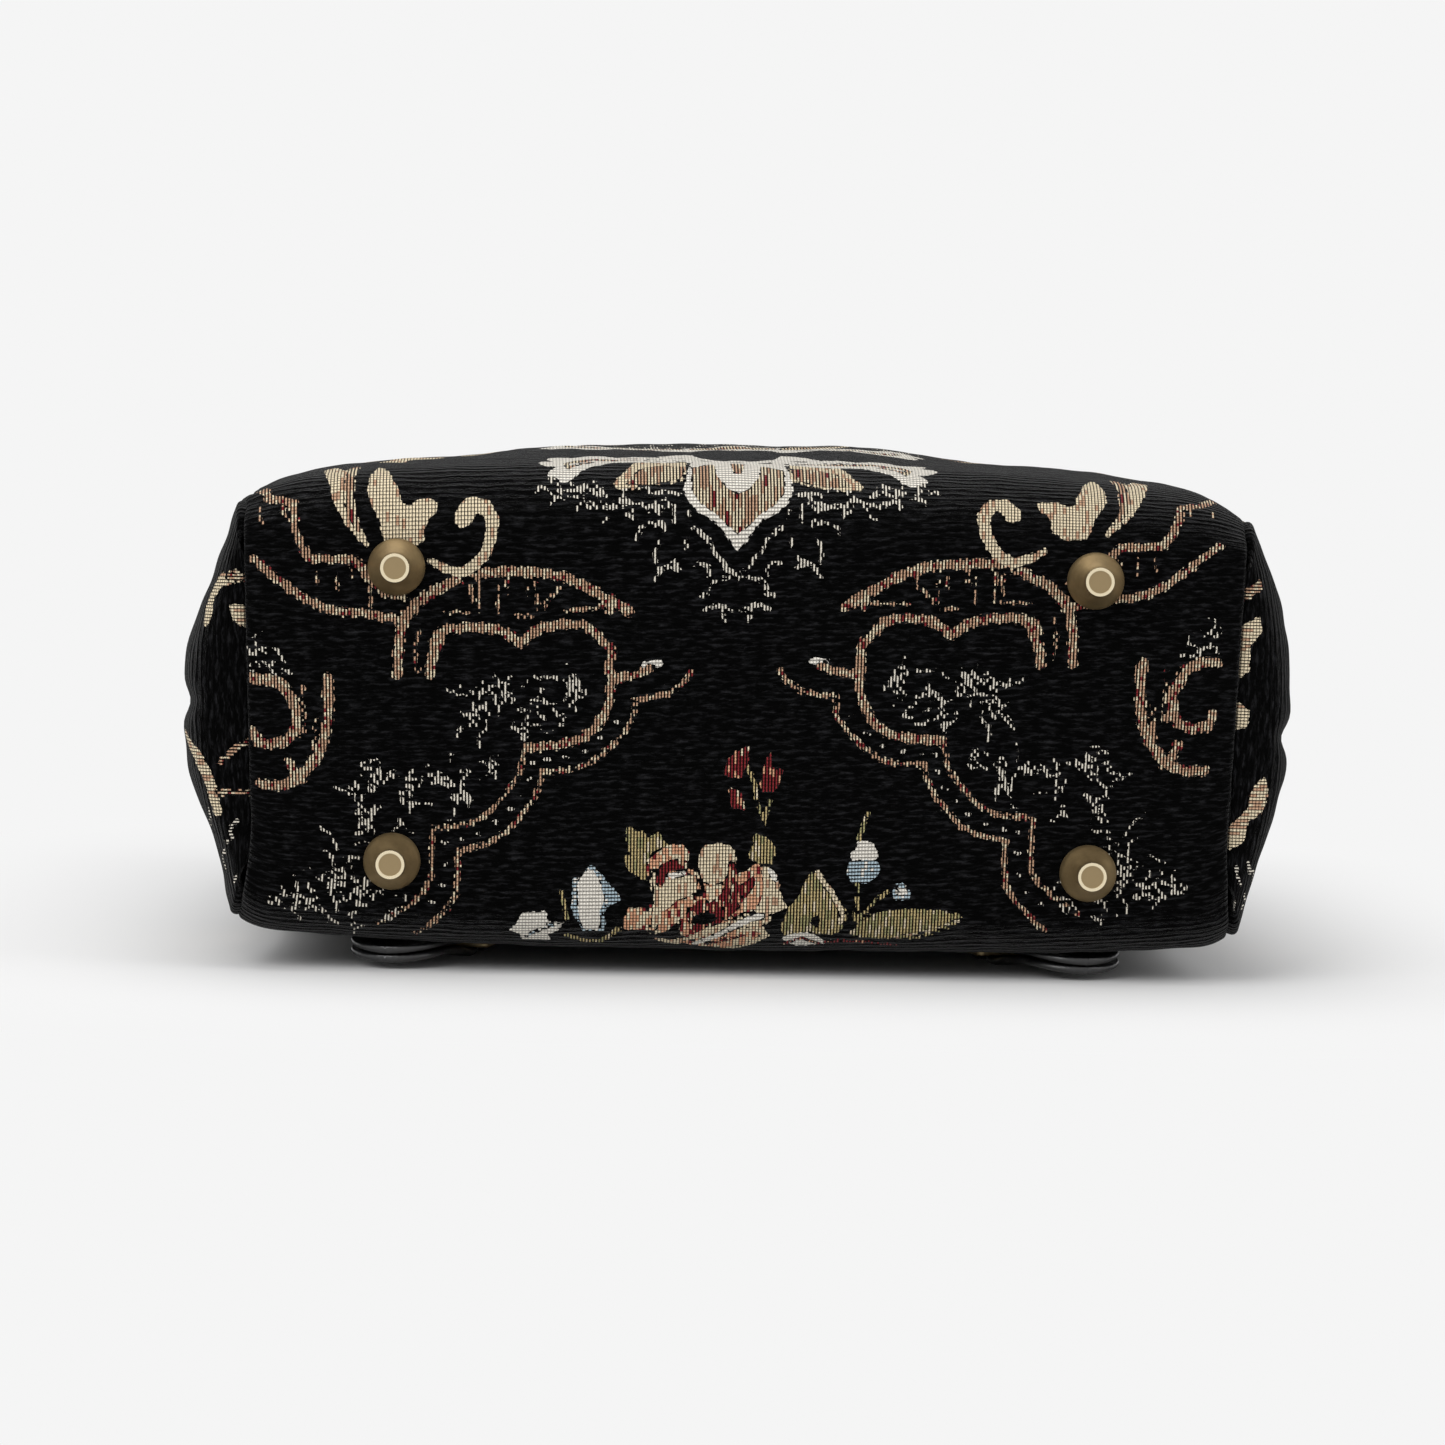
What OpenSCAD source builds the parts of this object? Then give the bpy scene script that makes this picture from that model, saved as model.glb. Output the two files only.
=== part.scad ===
// Small tapestry backpack, lying on its back with the base and its four feet towards -Y.
// The sub-parts are drawn standing, x across, y from front to back and z up from the feet,
// and lay() turns them all into the rest pose. All lengths are in millimetres.

/* [Body] */
// Width of the base between the side seams
base_w = 278; // [250:1:300]
// Depth of the base from the front panel to the back panel
base_d = 134; // [120:1:150]
// Height of the cloth body from the base to the mouth
body_h = 308; // [290:1:340]
// Width of the body at the mouth
top_w = 270; // [240:1:290]
// How far each side seam bows out at mid height
seam_bow = 5; // [0:1:10]
// Thickness of the padded cloth
cloth_t = 2.5; // [2:0.1:3.5]
// Radius of the fold between front and base
front_fold_r = 20; // [16:1:26]
// Radius of the fold between back and base
back_fold_r = 14; // [10:1:18]
// How far the front panel leans out above its fold
belly_reach = 5; // [0:1:20]
// Rise over which the front panel leans out
belly_rise = 114; // [90:1:130]
// How far the front panel lies in front of the mouth at the shoulder
shoulder_reach = 76; // [50:1:90]
// How far the shoulder lies below the mouth
shoulder_drop = 42; // [30:1:60]
// How far the middle of the front panel bellies out of its seams
front_belly = 10; // [4:1:18]
// How far the front panel's upper corners at the fold drop towards the back
front_edge_drop = 10; // [0:1:14]
// How much wider the base is at its front edge than at its back edge, on each side
front_flare = 5; // [0:1:8]
// How far each side panel bellies out of its seams
side_belly = 14; // [8:1:24]
// Depth of the crease down the middle of each side panel
side_crease = 2; // [0:0.5:5]

/* [Base and feet] */
// Distance between the left and the right feet
foot_pitch = 196; // [160:1:220]
// Distance of the front feet in front of the middle of the base
foot_front = 40.5; // [30:0.5:41]
// Distance of the back feet behind the middle of the base
foot_back = 42; // [30:0.5:46]
// Height of a foot
foot_h = 11; // [8:0.5:15]
// Diameter of a foot where it meets the cloth
foot_d = 16; // [13:0.5:18]
// Diameter of a foot's flat end
tip_d = 8; // [6:0.5:10]
// Height of the straight end of a foot
tip_h = 1.8; // [1:0.1:3]
// Width of the raised rim round a foot's end
rim_w = 0.8; // [0.5:0.1:1.2]
// Depth of the shallow dish inside the rim
rim_h = 0.3; // [0.2:0.1:0.5]
// Height of a foot's straight edge against the cloth
flange_h = 1.2; // [0.8:0.1:2]
// Diameter of a foot's shank
shank_d = 3.2; // [2.5:0.1:4]
// Diameter of the riveted head on the shank
shank_head_d = 5; // [4:0.1:6]
// Height of the riveted head
shank_head_h = 1; // [0.6:0.1:1.5]
// Diameter of a foot's washer
washer_d = 12; // [9:0.5:14]
// Thickness of a foot's washer
washer_t = 1; // [0.6:0.1:1.5]
// Thickness of the base board
board_t = 2.5; // [1.5:0.1:3.5]
// Distance of the base board's ends from the side seams
board_margin = 9; // [5:1:20]
// Corner radius of the base board
board_r = 12; // [6:1:20]

/* [Lining] */
// Thickness of the lining
lining_t = 0.8; // [0.6:0.1:1.2]
// Gap between the cloth and the lining
lining_gap = 0.4; // [0.3:0.1:1]

/* [Zip] */
// Width of each zip tape beside its coil
tape_w = 18; // [14:0.5:20]
// Thickness of the zip tape
tape_t = 1; // [0.8:0.1:1.4]
// Depth of the tape below the mouth's edge
tape_sink = 1; // [0.5:0.1:2]
// Width of one half of the coil
coil_w = 3; // [2.4:0.1:3.6]
// Height of the coil
coil_h = 2.8; // [2:0.1:3.4]
// Channel between the two halves, where the slider's post runs
coil_gap = 1.6; // [1.4:0.1:2]
// Distance from one tooth of the zip to the next
tooth_pitch = 3.2; // [3:0.1:4]
// Length of a tooth's top along the zip
tooth_l = 1.6; // [1.2:0.1:2]
// Height of a tooth above the cord between the teeth
tooth_rise = 1.2; // [0.8:0.1:1.5]
// Run of a tooth's slanting side
tooth_flank = 0.3; // [0.2:0.1:0.4]
// Length of the part of the zip that is open
zip_open_l = 150; // [100:1:180]
// Width of the open part at its widest
zip_open_w = 30; // [16:1:36]
// Length of the zip's closed end beside the open part
zip_end_l = 8; // [6:1:14]
// Length of an end stop
stop_l = 3.5; // [2.5:0.1:5]
// Thickness of an end stop
stop_t = 1; // [0.7:0.1:1.4]
// Length of the slider
slider_l = 12; // [10:0.5:15]
// Wall thickness of the slider
slider_wall = 1.2; // [1:0.1:1.6]
// Length of the slider's post
slider_post_l = 3; // [2:0.1:4]
// Running clearance of the moving pieces
clear = 0.35; // [0.3:0.01:0.36]
// Length of the bridge that holds the pull
bridge_l = 8; // [7:0.1:9]
// Width of the bridge
bridge_w = 2.4; // [2:0.1:3]
// Diameter of the pull's pin
pin_d = 1.5; // [1.2:0.1:1.8]
// Length of the pull
pull_l = 32; // [24:1:40]
// Width of the pull
pull_w = 9; // [7.5:0.1:11]
// Diameter of the hole near the pull's end
pull_hole_d = 4; // [2:0.1:5]

/* [Straps] */
// Width of a shoulder strap
strap_w = 28; // [22:1:32]
// Thickness of one strap layer
strap_t = 2; // [1.6:0.1:2.2]
// Distance of each lower tab from the middle of the back
tab_x = 100; // [80:1:108]
// Height of a tab's lower edge above the feet's ends
tab_z = 20; // [14:1:30]
// Length of a lower tab
tab_l = 46; // [36:1:56]
// Length of a tab or strap end that opens round its ring
loop_l = 14; // [10:1:18]
// Slit between two layers sewn together
slit = 0.6; // [0.4:0.1:0.8]
// Thickness of a ring's bar
ring_bar = 2; // [1.6:0.1:2.2]
// Room round a ring's bar inside a loop
ring_room = 0.3; // [0.2:0.05:0.4]
// Clear height between a ring's two bars
ring_gap = 9; // [7:0.5:12]
// Distance of each strap's upper end from the middle of the back
strap_top_x = 30; // [24:1:36]
// Distance of each strap's upper end below the mouth
strap_top_drop = 38; // [35:1:49]
// Length of the strap's folded lower end
fold_l = 62; // [50:1:80]
// Height of the adjuster slide
slide_h = 24; // [22:0.5:30]
// Thickness of the adjuster slide
slide_t = 1.6; // [1.2:0.1:1.8]
// Width of the adjuster slide's bars
slide_bar = 3; // [2.5:0.1:3.5]

/* [Patch and handle] */
// Width of the leather patch on the upper back
patch_w = 118; // [110:1:140]
// Height of the leather patch
patch_h = 68; // [60:1:72]
// Thickness of the leather patch
patch_t = 2; // [1.5:0.1:2.4]
// Corner radius of the patch
patch_r = 10; // [5:1:16]
// Distance of the patch below the mouth
patch_drop = 5; // [3:1:10]
// Radius of the handle's arch
handle_r = 38; // [32:1:44]
// Diameter of the rolled handle
handle_d = 8; // [7:0.5:9]
// Width of the handle's flat ends
handle_end_w = 20; // [16:1:24]
// Length of the handle's flat ends on the patch
handle_end_l = 24; // [20:1:26]
// Thickness of the handle's flat ends
handle_end_t = 2.4; // [2:0.1:3]
// Diameter of a rivet's head
rivet_head_d = 7; // [5:0.5:9]
// Height of a rivet's head
rivet_head_h = 1.3; // [0.8:0.1:1.6]
// Diameter of a rivet's shank
rivet_d = 3; // [2.4:0.1:3.4]
// Distance between the two rivets of a strap
rivet_pitch = 13; // [11:0.5:16]
// Distance of the upper rivet from the strap's end
rivet_edge = 8; // [6:0.5:10]

/* [Hidden] */
$fn = 48;

// Seat between pieces that are sewn or pressed together
seat = 0.2;
// Room round a shank or rivet in its hole
hole_room = 0.2;
// Overrun of a cutting solid past the face that it cuts
cut = 1;

// Colours as the photograph shows them
cloth_colour = [0.06, 0.06, 0.065];
lining_colour = [0.16, 0.13, 0.11];
board_colour = [0.35, 0.3, 0.24];
brass_colour = [0.54, 0.46, 0.3];
leather_colour = [0.04, 0.04, 0.042];
tape_colour = [0.05, 0.05, 0.055];

// Numbers of steps along the cloth's surfaces
n_across = 20;
n_front = 12;
n_fold = 5;
n_back = 5;
n_rise = 10;
n_open = 18;
n_lining = 20;
n_corner = 8;

// Share of the cloth's thickness that lies beyond the edge of the front zip tape
mouth_seat_share = 0.85;
// Levels and planes of the standing body
front_y = -base_d / 2;
back_y = base_d / 2;
top_z = foot_h + body_h;
zip_y = back_y - cloth_t - seat - tape_w - coil_w - coil_gap / 2;
tape_z = top_z - tape_sink - tape_t;
mouth_seat = mouth_seat_share * cloth_t;
front_top_y = zip_y - coil_gap / 2 - coil_w - tape_w - mouth_seat;

// Zip layout along x
zip_half = top_w / 2 - 2 * seat;
open_end_x = zip_half - zip_end_l;
open_start_x = open_end_x - zip_open_l;
slider_x = open_start_x - slider_l / 2 - 2 * clear;
coil_top_z = tape_z + coil_h;
plate_z = coil_top_z + clear;
plate_top_z = plate_z + slider_wall;
pin_z = plate_top_z + clear + pin_d / 2;
bridge_h = pin_d + 2 * clear;
slider_w = coil_gap + 2 * (coil_w + clear + slider_wall);

// The stack of straps on the back, measured out from the back panel
loop_room = ring_bar + 2 * ring_room;
stack_n = seat + 2 * strap_t + loop_room;
double_n = seat + 2 * strap_t + slit;
strap_rise = patch_t + seat;
strap_top_z = top_z - strap_top_drop;
floor_y = back_y + stack_n;

// Lengths along a strap, measured up from the lower edge of its tab
strap_lean = atan2(tab_x - strap_top_x, strap_top_z - tab_z);
strap_l = norm([tab_x - strap_top_x, strap_top_z - tab_z]);
ring_low_s = tab_l - strap_t - ring_room - ring_bar;
ring_high_s = ring_low_s + ring_bar + ring_gap;
strap_low_s = ring_high_s - ring_room - strap_t;
fold_s = strap_low_s + fold_l;
slide_s = fold_s + slide_h / 2 + 2 * slide_bar;
patch_low_z = top_z - patch_drop - patch_h;
ramp_s = (patch_low_z - tab_z) / cos(strap_lean) - strap_w / 2;

// The handle's arch stands above the mouth
handle_z = top_z + handle_d;
handle_n = stack_n - handle_d / 2;
total_h = handle_z + handle_r + handle_d / 2;

// The part of the wrap that is the fold, out of fold and front together
fold_share = 0.12;
// Places across a side panel where its surface is computed, the crease at the middle
gusset_shares = [0, 0.08, 0.18, 0.3, 0.4, 0.46, 0.5, 0.54, 0.6, 0.7, 0.82, 0.92, 1];
// Half the crease's width, as a share of the side panel's depth
crease_share = 0.06;
// Share of the folds' sweep at which the lining's floor meets them
floor_share = 0.5;
// Exponents that shape the belly of a side panel over its height and its depth
rise_shape = 0.7;
belly_shape = 0.8;
// Exponents that shape the front panel's belly and its dropped corners over the width
front_shape = 1.5;
edge_shape = 8;

function mix(a, b, s) = a + (b - a) * s;
function unit(v) = v / norm(v);

// Half the width of the body at a depth and a height
function half_w(y, z) =
    let (s = (z - foot_h) / body_h)
    mix(base_w, top_w, s) / 2 + seam_bow * 4 * s * (1 - s) - front_flare * (1 - s) * y / base_d;

// How far the middle of the front panel bellies out, and how far its edges drop, at a place across it
function belly_at(u) = front_belly * pow(1 - u * u, front_shape);
function drop_at(u) = front_edge_drop * pow(abs(u), edge_shape);

// How far the open zip pushes the mouth's front edge forward
function mouth_gap(x) =
    let (s = (x - open_start_x) / zip_open_l)
    s > 0 && s < 1 ? zip_open_w * sin(180 * s) : 0;

// Front fold: an arc from the base to where the front panel starts to lean out
fold_sweep = 90 - atan2(belly_reach, belly_rise);
function front_fold(q, inset) =
    [front_y + front_fold_r, foot_h + front_fold_r]
    - (front_fold_r - inset) * [sin(fold_sweep * q), cos(fold_sweep * q)];

// Front panel: a cubic curve from the fold to the mouth
function front_poles(gap) =
    let (start = front_fold(1, 0))
    [
        start,
        start + [-belly_reach, belly_rise],
        [front_top_y - shoulder_reach, top_z - shoulder_drop],
        [front_top_y - gap, top_z],
    ];
function cubic(p, t) =
    pow(1 - t, 3) * p[0] + 3 * t * pow(1 - t, 2) * p[1] + 3 * t * t * (1 - t) * p[2] + pow(t, 3) * p[3];
function cubic_slope(p, t) =
    pow(1 - t, 2) * (p[1] - p[0]) + 2 * t * (1 - t) * (p[2] - p[1]) + t * t * (p[3] - p[2]);
function front_curve(t, gap, inset) =
    let (p = front_poles(gap), d = unit(cubic_slope(p, t)))
    cubic(p, t) + inset * [d[1], -d[0]];

// Back fold and back panel
function back_fold(q, inset) =
    [back_y - back_fold_r, foot_h + back_fold_r]
    + (back_fold_r - inset) * [sin(90 * q), -cos(90 * q)];
function back_line(t, inset) = [back_y - inset, mix(foot_h + back_fold_r, top_z, t)];

// Profile of the wrap at station k: front mouth, front fold, base, back fold, back mouth
n_wrap = n_front + n_fold + 1 + n_fold + n_back;
function wrap_profile(k, gap, inset) =
    k <= n_front ? front_curve(1 - k / n_front, gap, inset)
    : k <= n_front + n_fold ? front_fold(1 - (k - n_front) / n_fold, inset)
    : k <= n_wrap - n_back ? back_fold((k - n_front - n_fold - 1) / n_fold, inset)
    : back_line((k - n_wrap + n_back) / n_back, inset);
function belly_share(k) =
    k <= n_front ? sin(180 * mix(fold_share, 1, 1 - k / n_front))
    : k <= n_front + n_fold ? sin(180 * fold_share * (1 - (k - n_front) / n_fold))
    : 0;
function drop_share(k) =
    k <= n_front ? k / n_front
    : k <= n_front + n_fold ? 1 - (k - n_front) / n_fold
    : 0;
function wrap_point(u, k, inset) =
    let (
        gap = mouth_gap(u * top_w / 2),
        outer = wrap_profile(k, gap, 0),
        p = wrap_profile(k, gap, inset),
        edge_y = outer[0] + front_edge_drop * drop_share(k)
    )
    [
        u * half_w(edge_y, outer[1]),
        p[0] - belly_at(u) * belly_share(k) + drop_at(u) * drop_share(k),
        p[1],
    ];

// Closed slab between two grids of points, whose first grid faces away from row cross column
function flat(rows) = [for (r = rows) each r];
function halves(q) = [[q[0], q[1], q[2]], [q[0], q[2], q[3]]];
function slab_faces(ni, nk) =
    let (
        a = function(i, k) i * (nk + 1) + k,
        b = function(i, k) (ni + 1) * (nk + 1) + i * (nk + 1) + k
    )
    flat([
        for (i = [0 : ni - 1], k = [0 : nk - 1]) each [
            halves([a(i, k), a(i + 1, k), a(i + 1, k + 1), a(i, k + 1)]),
            halves([b(i, k), b(i, k + 1), b(i + 1, k + 1), b(i + 1, k)]),
        ],
        for (k = [0 : nk - 1]) each [
            halves([a(0, k), a(0, k + 1), b(0, k + 1), b(0, k)]),
            halves([a(ni, k + 1), a(ni, k), b(ni, k), b(ni, k + 1)]),
        ],
        for (i = [0 : ni - 1]) each [
            halves([a(i + 1, 0), a(i, 0), b(i, 0), b(i + 1, 0)]),
            halves([a(i, nk), a(i + 1, nk), b(i + 1, nk), b(i, nk)]),
        ],
    ]);
module slab(a, b) {
    polyhedron(points = concat(flat(a), flat(b)), faces = slab_faces(len(a) - 1, len(a[0]) - 1));
}

// Round-cornered outline, centred
function rounded(w, h, r) = [
    for (c = [[1, 1, 0], [-1, 1, 90], [-1, -1, 180], [1, -1, 270]], i = [0 : n_corner])
        [c[0] * (w / 2 - r), c[1] * (h / 2 - r)]
        + r * [cos(c[2] + 90 * i / n_corner), sin(c[2] + 90 * i / n_corner)],
];

// Turns a standing sub-part into the rest pose, on its back on the floor
module lay() {
    translate([0, -total_h / 2, floor_y]) rotate([-90, 0, 0]) children();
}

// Places children at the four feet
module at_foot(side, y) {
    translate([side * foot_pitch / 2, y, 0]) children();
}
module at_feet() {
    for (side = [-1, 1], y = [-foot_front, foot_back]) at_foot(side, y) children();
}

// Frame of a strap: x across it, y out of the back panel, z up along it from its tab
module on_strap(side) {
    translate([side * tab_x, back_y, tab_z]) rotate([0, -side * strap_lean, 0]) children();
}
// Band across the strap whose outline has points out of the back and along the strap
module band(width) {
    rotate([90, 0, 90]) linear_extrude(height = width, center = true) children();
}
// Flat plate parallel to the back panel, from a distance n out of it
module on_back(n, thickness) {
    translate([0, n + thickness, 0]) rotate([90, 0, 0]) linear_extrude(height = thickness) children();
}

module outer_panel() {
    outer = [for (i = [0 : n_across]) [for (k = [0 : n_wrap]) wrap_point(2 * i / n_across - 1, k, 0)]];
    inner = [for (i = [0 : n_across]) [for (k = [0 : n_wrap]) wrap_point(2 * i / n_across - 1, k, cloth_t)]];
    color(cloth_colour) difference() {
        slab(outer, inner);
        at_feet() translate([0, 0, foot_h - cut])
            cylinder(d = shank_d + 2 * hole_room, h = cloth_t + 2 * cut);
    }
}

// Side panel: rows climb from the base edge past both folds to the mouth
n_gusset = n_fold + n_rise;
function gusset_front(k) =
    let (t = (k - n_fold) / n_rise)
    k <= n_fold ? front_fold(k / n_fold, 0) + [front_edge_drop * k / n_fold, 0]
    : front_curve(t, 0, 0) + [front_edge_drop * (1 - t), 0];
function gusset_back(k) =
    let (
        low = front_fold(1, 0)[1],
        t = (gusset_front(k)[1] - low) / (top_z - low)
    )
    k <= n_fold ? back_fold(k / n_fold, 0) : back_line(t, 0);
function gusset_x(a, k, y, z) =
    let (
        rise = pow(max(0, sin(180 * pow(k / n_gusset, rise_shape))), belly_shape),
        depth = pow(max(0, sin(180 * a)), belly_shape),
        crease = side_crease * max(0, 1 - abs(a - 0.5) / crease_share)
    )
    half_w(y, z) + seat + rise * (side_belly * depth - crease);
function gusset_point(side, a, k, out) =
    let (yz = mix(gusset_front(k), gusset_back(k), a))
    [side * (gusset_x(a, k, yz[0], yz[1]) + out), yz[0], yz[1]];
module gusset(side) {
    outer = [for (a = gusset_shares) [for (k = [0 : n_gusset]) gusset_point(side, a, k, cloth_t)]];
    inner = [for (a = gusset_shares) [for (k = [0 : n_gusset]) gusset_point(side, a, k, 0)]];
    color(cloth_colour) slab(side > 0 ? inner : outer, side > 0 ? outer : inner);
}
module left_gusset() { gusset(-1); }
module right_gusset() { gusset(1); }

// Lining: an open cup of rings, each ring the front row and the back row of one level
lining_floor_z = foot_h + cloth_t + board_t + washer_t + shank_head_h + lining_gap;
function lining_level(m, gap, inset) =
    m == 0 ? [
        [front_fold(floor_share, inset + lining_gap)[0], lining_floor_z],
        [back_fold(floor_share, inset + lining_gap)[0], lining_floor_z],
    ]
    : m == 1 ? [front_fold(1, inset), back_fold(1, inset)]
    : let (
        t = (m - 1) / n_front,
        low = front_fold(1, inset)[1],
        f = front_curve(t, gap, inset),
        high = front_curve(1, gap, inset)[1],
        s = (f[1] - low) / (high - low)
    )
    [f, [back_y - inset, mix(foot_h + back_fold_r, high, s)]];
function lining_ring(m, inset, lift) =
    let (
        row = function(i, side)
            let (
                u = 2 * i / n_lining - 1,
                yz = lining_level(m, mouth_gap(u * top_w / 2), inset)[side],
                t = (m - 1) / n_front,
                share = m == 0 ? fold_share * floor_share : mix(fold_share, 1, t),
                drop = side == 1 ? 0 : m == 0 ? floor_share : 1 - t,
                belly = side == 1 ? 0 : belly_at(u) * sin(180 * share),
                edge_y = yz[0] + front_edge_drop * drop
            )
            [
                u * (half_w(edge_y, yz[1]) - inset + cloth_t),
                yz[0] - belly + drop_at(u) * drop,
                yz[1] + (m == 0 ? lift : 0),
            ]
    )
    concat([for (i = [0 : n_lining]) row(i, 0)], [for (i = [n_lining : -1 : 0]) row(i, 1)]);
module lining() {
    n_ring = 2 * (n_lining + 1);
    n_level = n_front + 1;
    inset = cloth_t + lining_gap;
    outer = [for (m = [0 : n_level]) lining_ring(m, inset, 0)];
    inner = [for (m = [0 : n_level]) lining_ring(m, inset + lining_t, lining_t)];
    o = function(m, j) m * n_ring + j % n_ring;
    n = function(m, j) (n_level + 1 + m) * n_ring + j % n_ring;
    faces = flat([
        for (m = [0 : n_level - 1], j = [0 : n_ring - 1]) each [
            halves([o(m + 1, j), o(m + 1, j + 1), o(m, j + 1), o(m, j)]),
            halves([n(m, j + 1), n(m + 1, j + 1), n(m + 1, j), n(m, j)]),
        ],
        for (j = [0 : n_ring - 1])
            halves([o(n_level, j), n(n_level, j), n(n_level, j + 1), o(n_level, j + 1)]),
        for (i = [0 : n_lining - 1]) each [
            halves([o(0, i), o(0, i + 1), o(0, n_ring - 2 - i), o(0, n_ring - 1 - i)]),
            halves([n(0, i), n(0, n_ring - 1 - i), n(0, n_ring - 2 - i), n(0, i + 1)]),
        ],
    ]);
    color(lining_colour) polyhedron(points = concat(flat(outer), flat(inner)), faces = faces);
}

module base_board() {
    front = front_y + front_fold_r + seat;
    back = back_y - back_fold_r - seat;
    color(board_colour) translate([0, 0, foot_h + cloth_t]) difference() {
        translate([0, (front + back) / 2, 0]) linear_extrude(height = board_t)
            polygon(rounded(base_w - 2 * board_margin, back - front, board_r));
        at_feet() translate([0, 0, -cut]) cylinder(d = shank_d + 2 * hole_room, h = board_t + 2 * cut);
    }
}

// Foot: a turned cone with a rimmed end, a flange on the cloth and a riveted shank
module foot(side, y) {
    washer_z = foot_h + cloth_t + board_t;
    head_z = washer_z + washer_t;
    color(brass_colour) at_foot(side, y) rotate_extrude() polygon([
        [0, rim_h],
        [tip_d / 2 - rim_w, rim_h],
        [tip_d / 2 - rim_w, 0],
        [tip_d / 2, 0],
        [tip_d / 2, tip_h],
        [foot_d / 2, foot_h - flange_h],
        [foot_d / 2, foot_h],
        [shank_d / 2, foot_h],
        [shank_d / 2, head_z],
        [shank_head_d / 2, head_z],
        [shank_head_d / 2, head_z + shank_head_h],
        [0, head_z + shank_head_h],
    ]);
}
module front_left_foot() { foot(-1, -foot_front); }
module front_right_foot() { foot(1, -foot_front); }
module back_left_foot() { foot(-1, foot_back); }
module back_right_foot() { foot(1, foot_back); }

module foot_washers() {
    color(brass_colour) at_feet() translate([0, 0, foot_h + cloth_t + board_t]) difference() {
        cylinder(d = washer_d, h = washer_t);
        translate([0, 0, -cut]) cylinder(d = shank_d + 2 * hole_room, h = washer_t + 2 * cut);
    }
}

// Height of a zip half along its teeth, as places along x with the height there
cord_h = coil_h - tooth_rise;
n_teeth = floor(2 * zip_half / tooth_pitch);
tooth_room = (tooth_pitch - tooth_l) / 2 - tooth_flank;
tooth_start = tooth_room - n_teeth * tooth_pitch / 2;
tooth_line = concat(
    [[-zip_half, cord_h]],
    [
        for (i = [0 : n_teeth - 1])
            let (x = tooth_start + i * tooth_pitch)
                each [
                    [x, cord_h],
                    [x + tooth_flank, coil_h],
                    [x + tooth_flank + tooth_l, coil_h],
                    [x + 2 * tooth_flank + tooth_l, cord_h],
                ],
    ],
    [[zip_half, cord_h]]
);
// Section of a tape with its row of teeth, out from the teeth's inner edge
function tape_section(h) = [
    [0, 0], [coil_w + tape_w, 0], [coil_w + tape_w, tape_t], [coil_w, tape_t], [coil_w, h], [0, h],
];
// The front half bends away from the back half along the open part
module front_zip_tape() {
    bend = concat(
        [[-zip_half, 0]],
        [
            for (i = [0 : n_open])
                let (x = open_start_x + zip_open_l * i / n_open) [x, mouth_gap(x)],
        ],
        [[zip_half, 0]]
    );
    n = len(tape_section(coil_h));
    points = [
        for (t = tooth_line, p = tape_section(t[1]))
            [t[0], zip_y - coil_gap / 2 - lookup(t[0], bend) - p[0], tape_z + p[1]],
    ];
    last = (len(tooth_line) - 1) * n;
    faces = concat(
        [[for (j = [n - 1 : -1 : 0]) j], [for (j = [0 : n - 1]) last + j]],
        flat([
            for (i = [0 : len(tooth_line) - 2], j = [0 : n - 1])
                halves([i * n + j, i * n + (j + 1) % n, (i + 1) * n + (j + 1) % n, (i + 1) * n + j]),
        ])
    );
    color(tape_colour) polyhedron(points = points, faces = faces);
}
module back_zip_tape() {
    color(tape_colour) translate([0, zip_y + coil_gap / 2, tape_z]) {
        translate([-zip_half, 0, 0]) cube([2 * zip_half, coil_w + tape_w, tape_t]);
        translate([0, coil_w, 0]) rotate([90, 0, 0]) linear_extrude(height = coil_w)
            polygon(concat([[zip_half, 0], [-zip_half, 0]], tooth_line));
    }
}

module zip_end_stops() {
    color(brass_colour) for (side = [-1, 1])
        translate([side * (zip_half - stop_l), zip_y, coil_top_z + stop_t / 2])
            cube([stop_l, coil_gap + 2 * coil_w, stop_t], center = true);
}

// Slider: a plate on each side of the coils, joined by a post that runs between them
module zip_slider() {
    low_z = tape_z - clear - slider_wall;
    lip_y = coil_gap / 2 + coil_w + clear;
    lip_z = tape_z + tape_t + clear;
    color(brass_colour) translate([slider_x, zip_y, 0]) {
        translate([-slider_l / 2, -slider_w / 2, plate_z]) cube([slider_l, slider_w, slider_wall]);
        translate([-slider_l / 2, -slider_w / 2, low_z]) cube([slider_l, slider_w, slider_wall]);
        translate([slider_l / 2 - slider_post_l, -coil_gap / 2 + clear, low_z])
            cube([slider_post_l, coil_gap - 2 * clear, plate_top_z - low_z]);
        for (side = [-1, 1])
            translate([-slider_l / 2, side * (lip_y + slider_wall / 2) - slider_wall / 2, lip_z])
                cube([slider_l, slider_wall, plate_top_z - lip_z]);
        translate([0, 0, plate_z]) difference() {
            translate([-bridge_l / 2, -bridge_w / 2, 0])
                cube([bridge_l, bridge_w, 2 * slider_wall + bridge_h]);
            translate([slider_wall - bridge_l / 2, -bridge_w, slider_wall])
                cube([bridge_l - 2 * slider_wall, 2 * bridge_w, bridge_h]);
        }
    }
}

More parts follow.
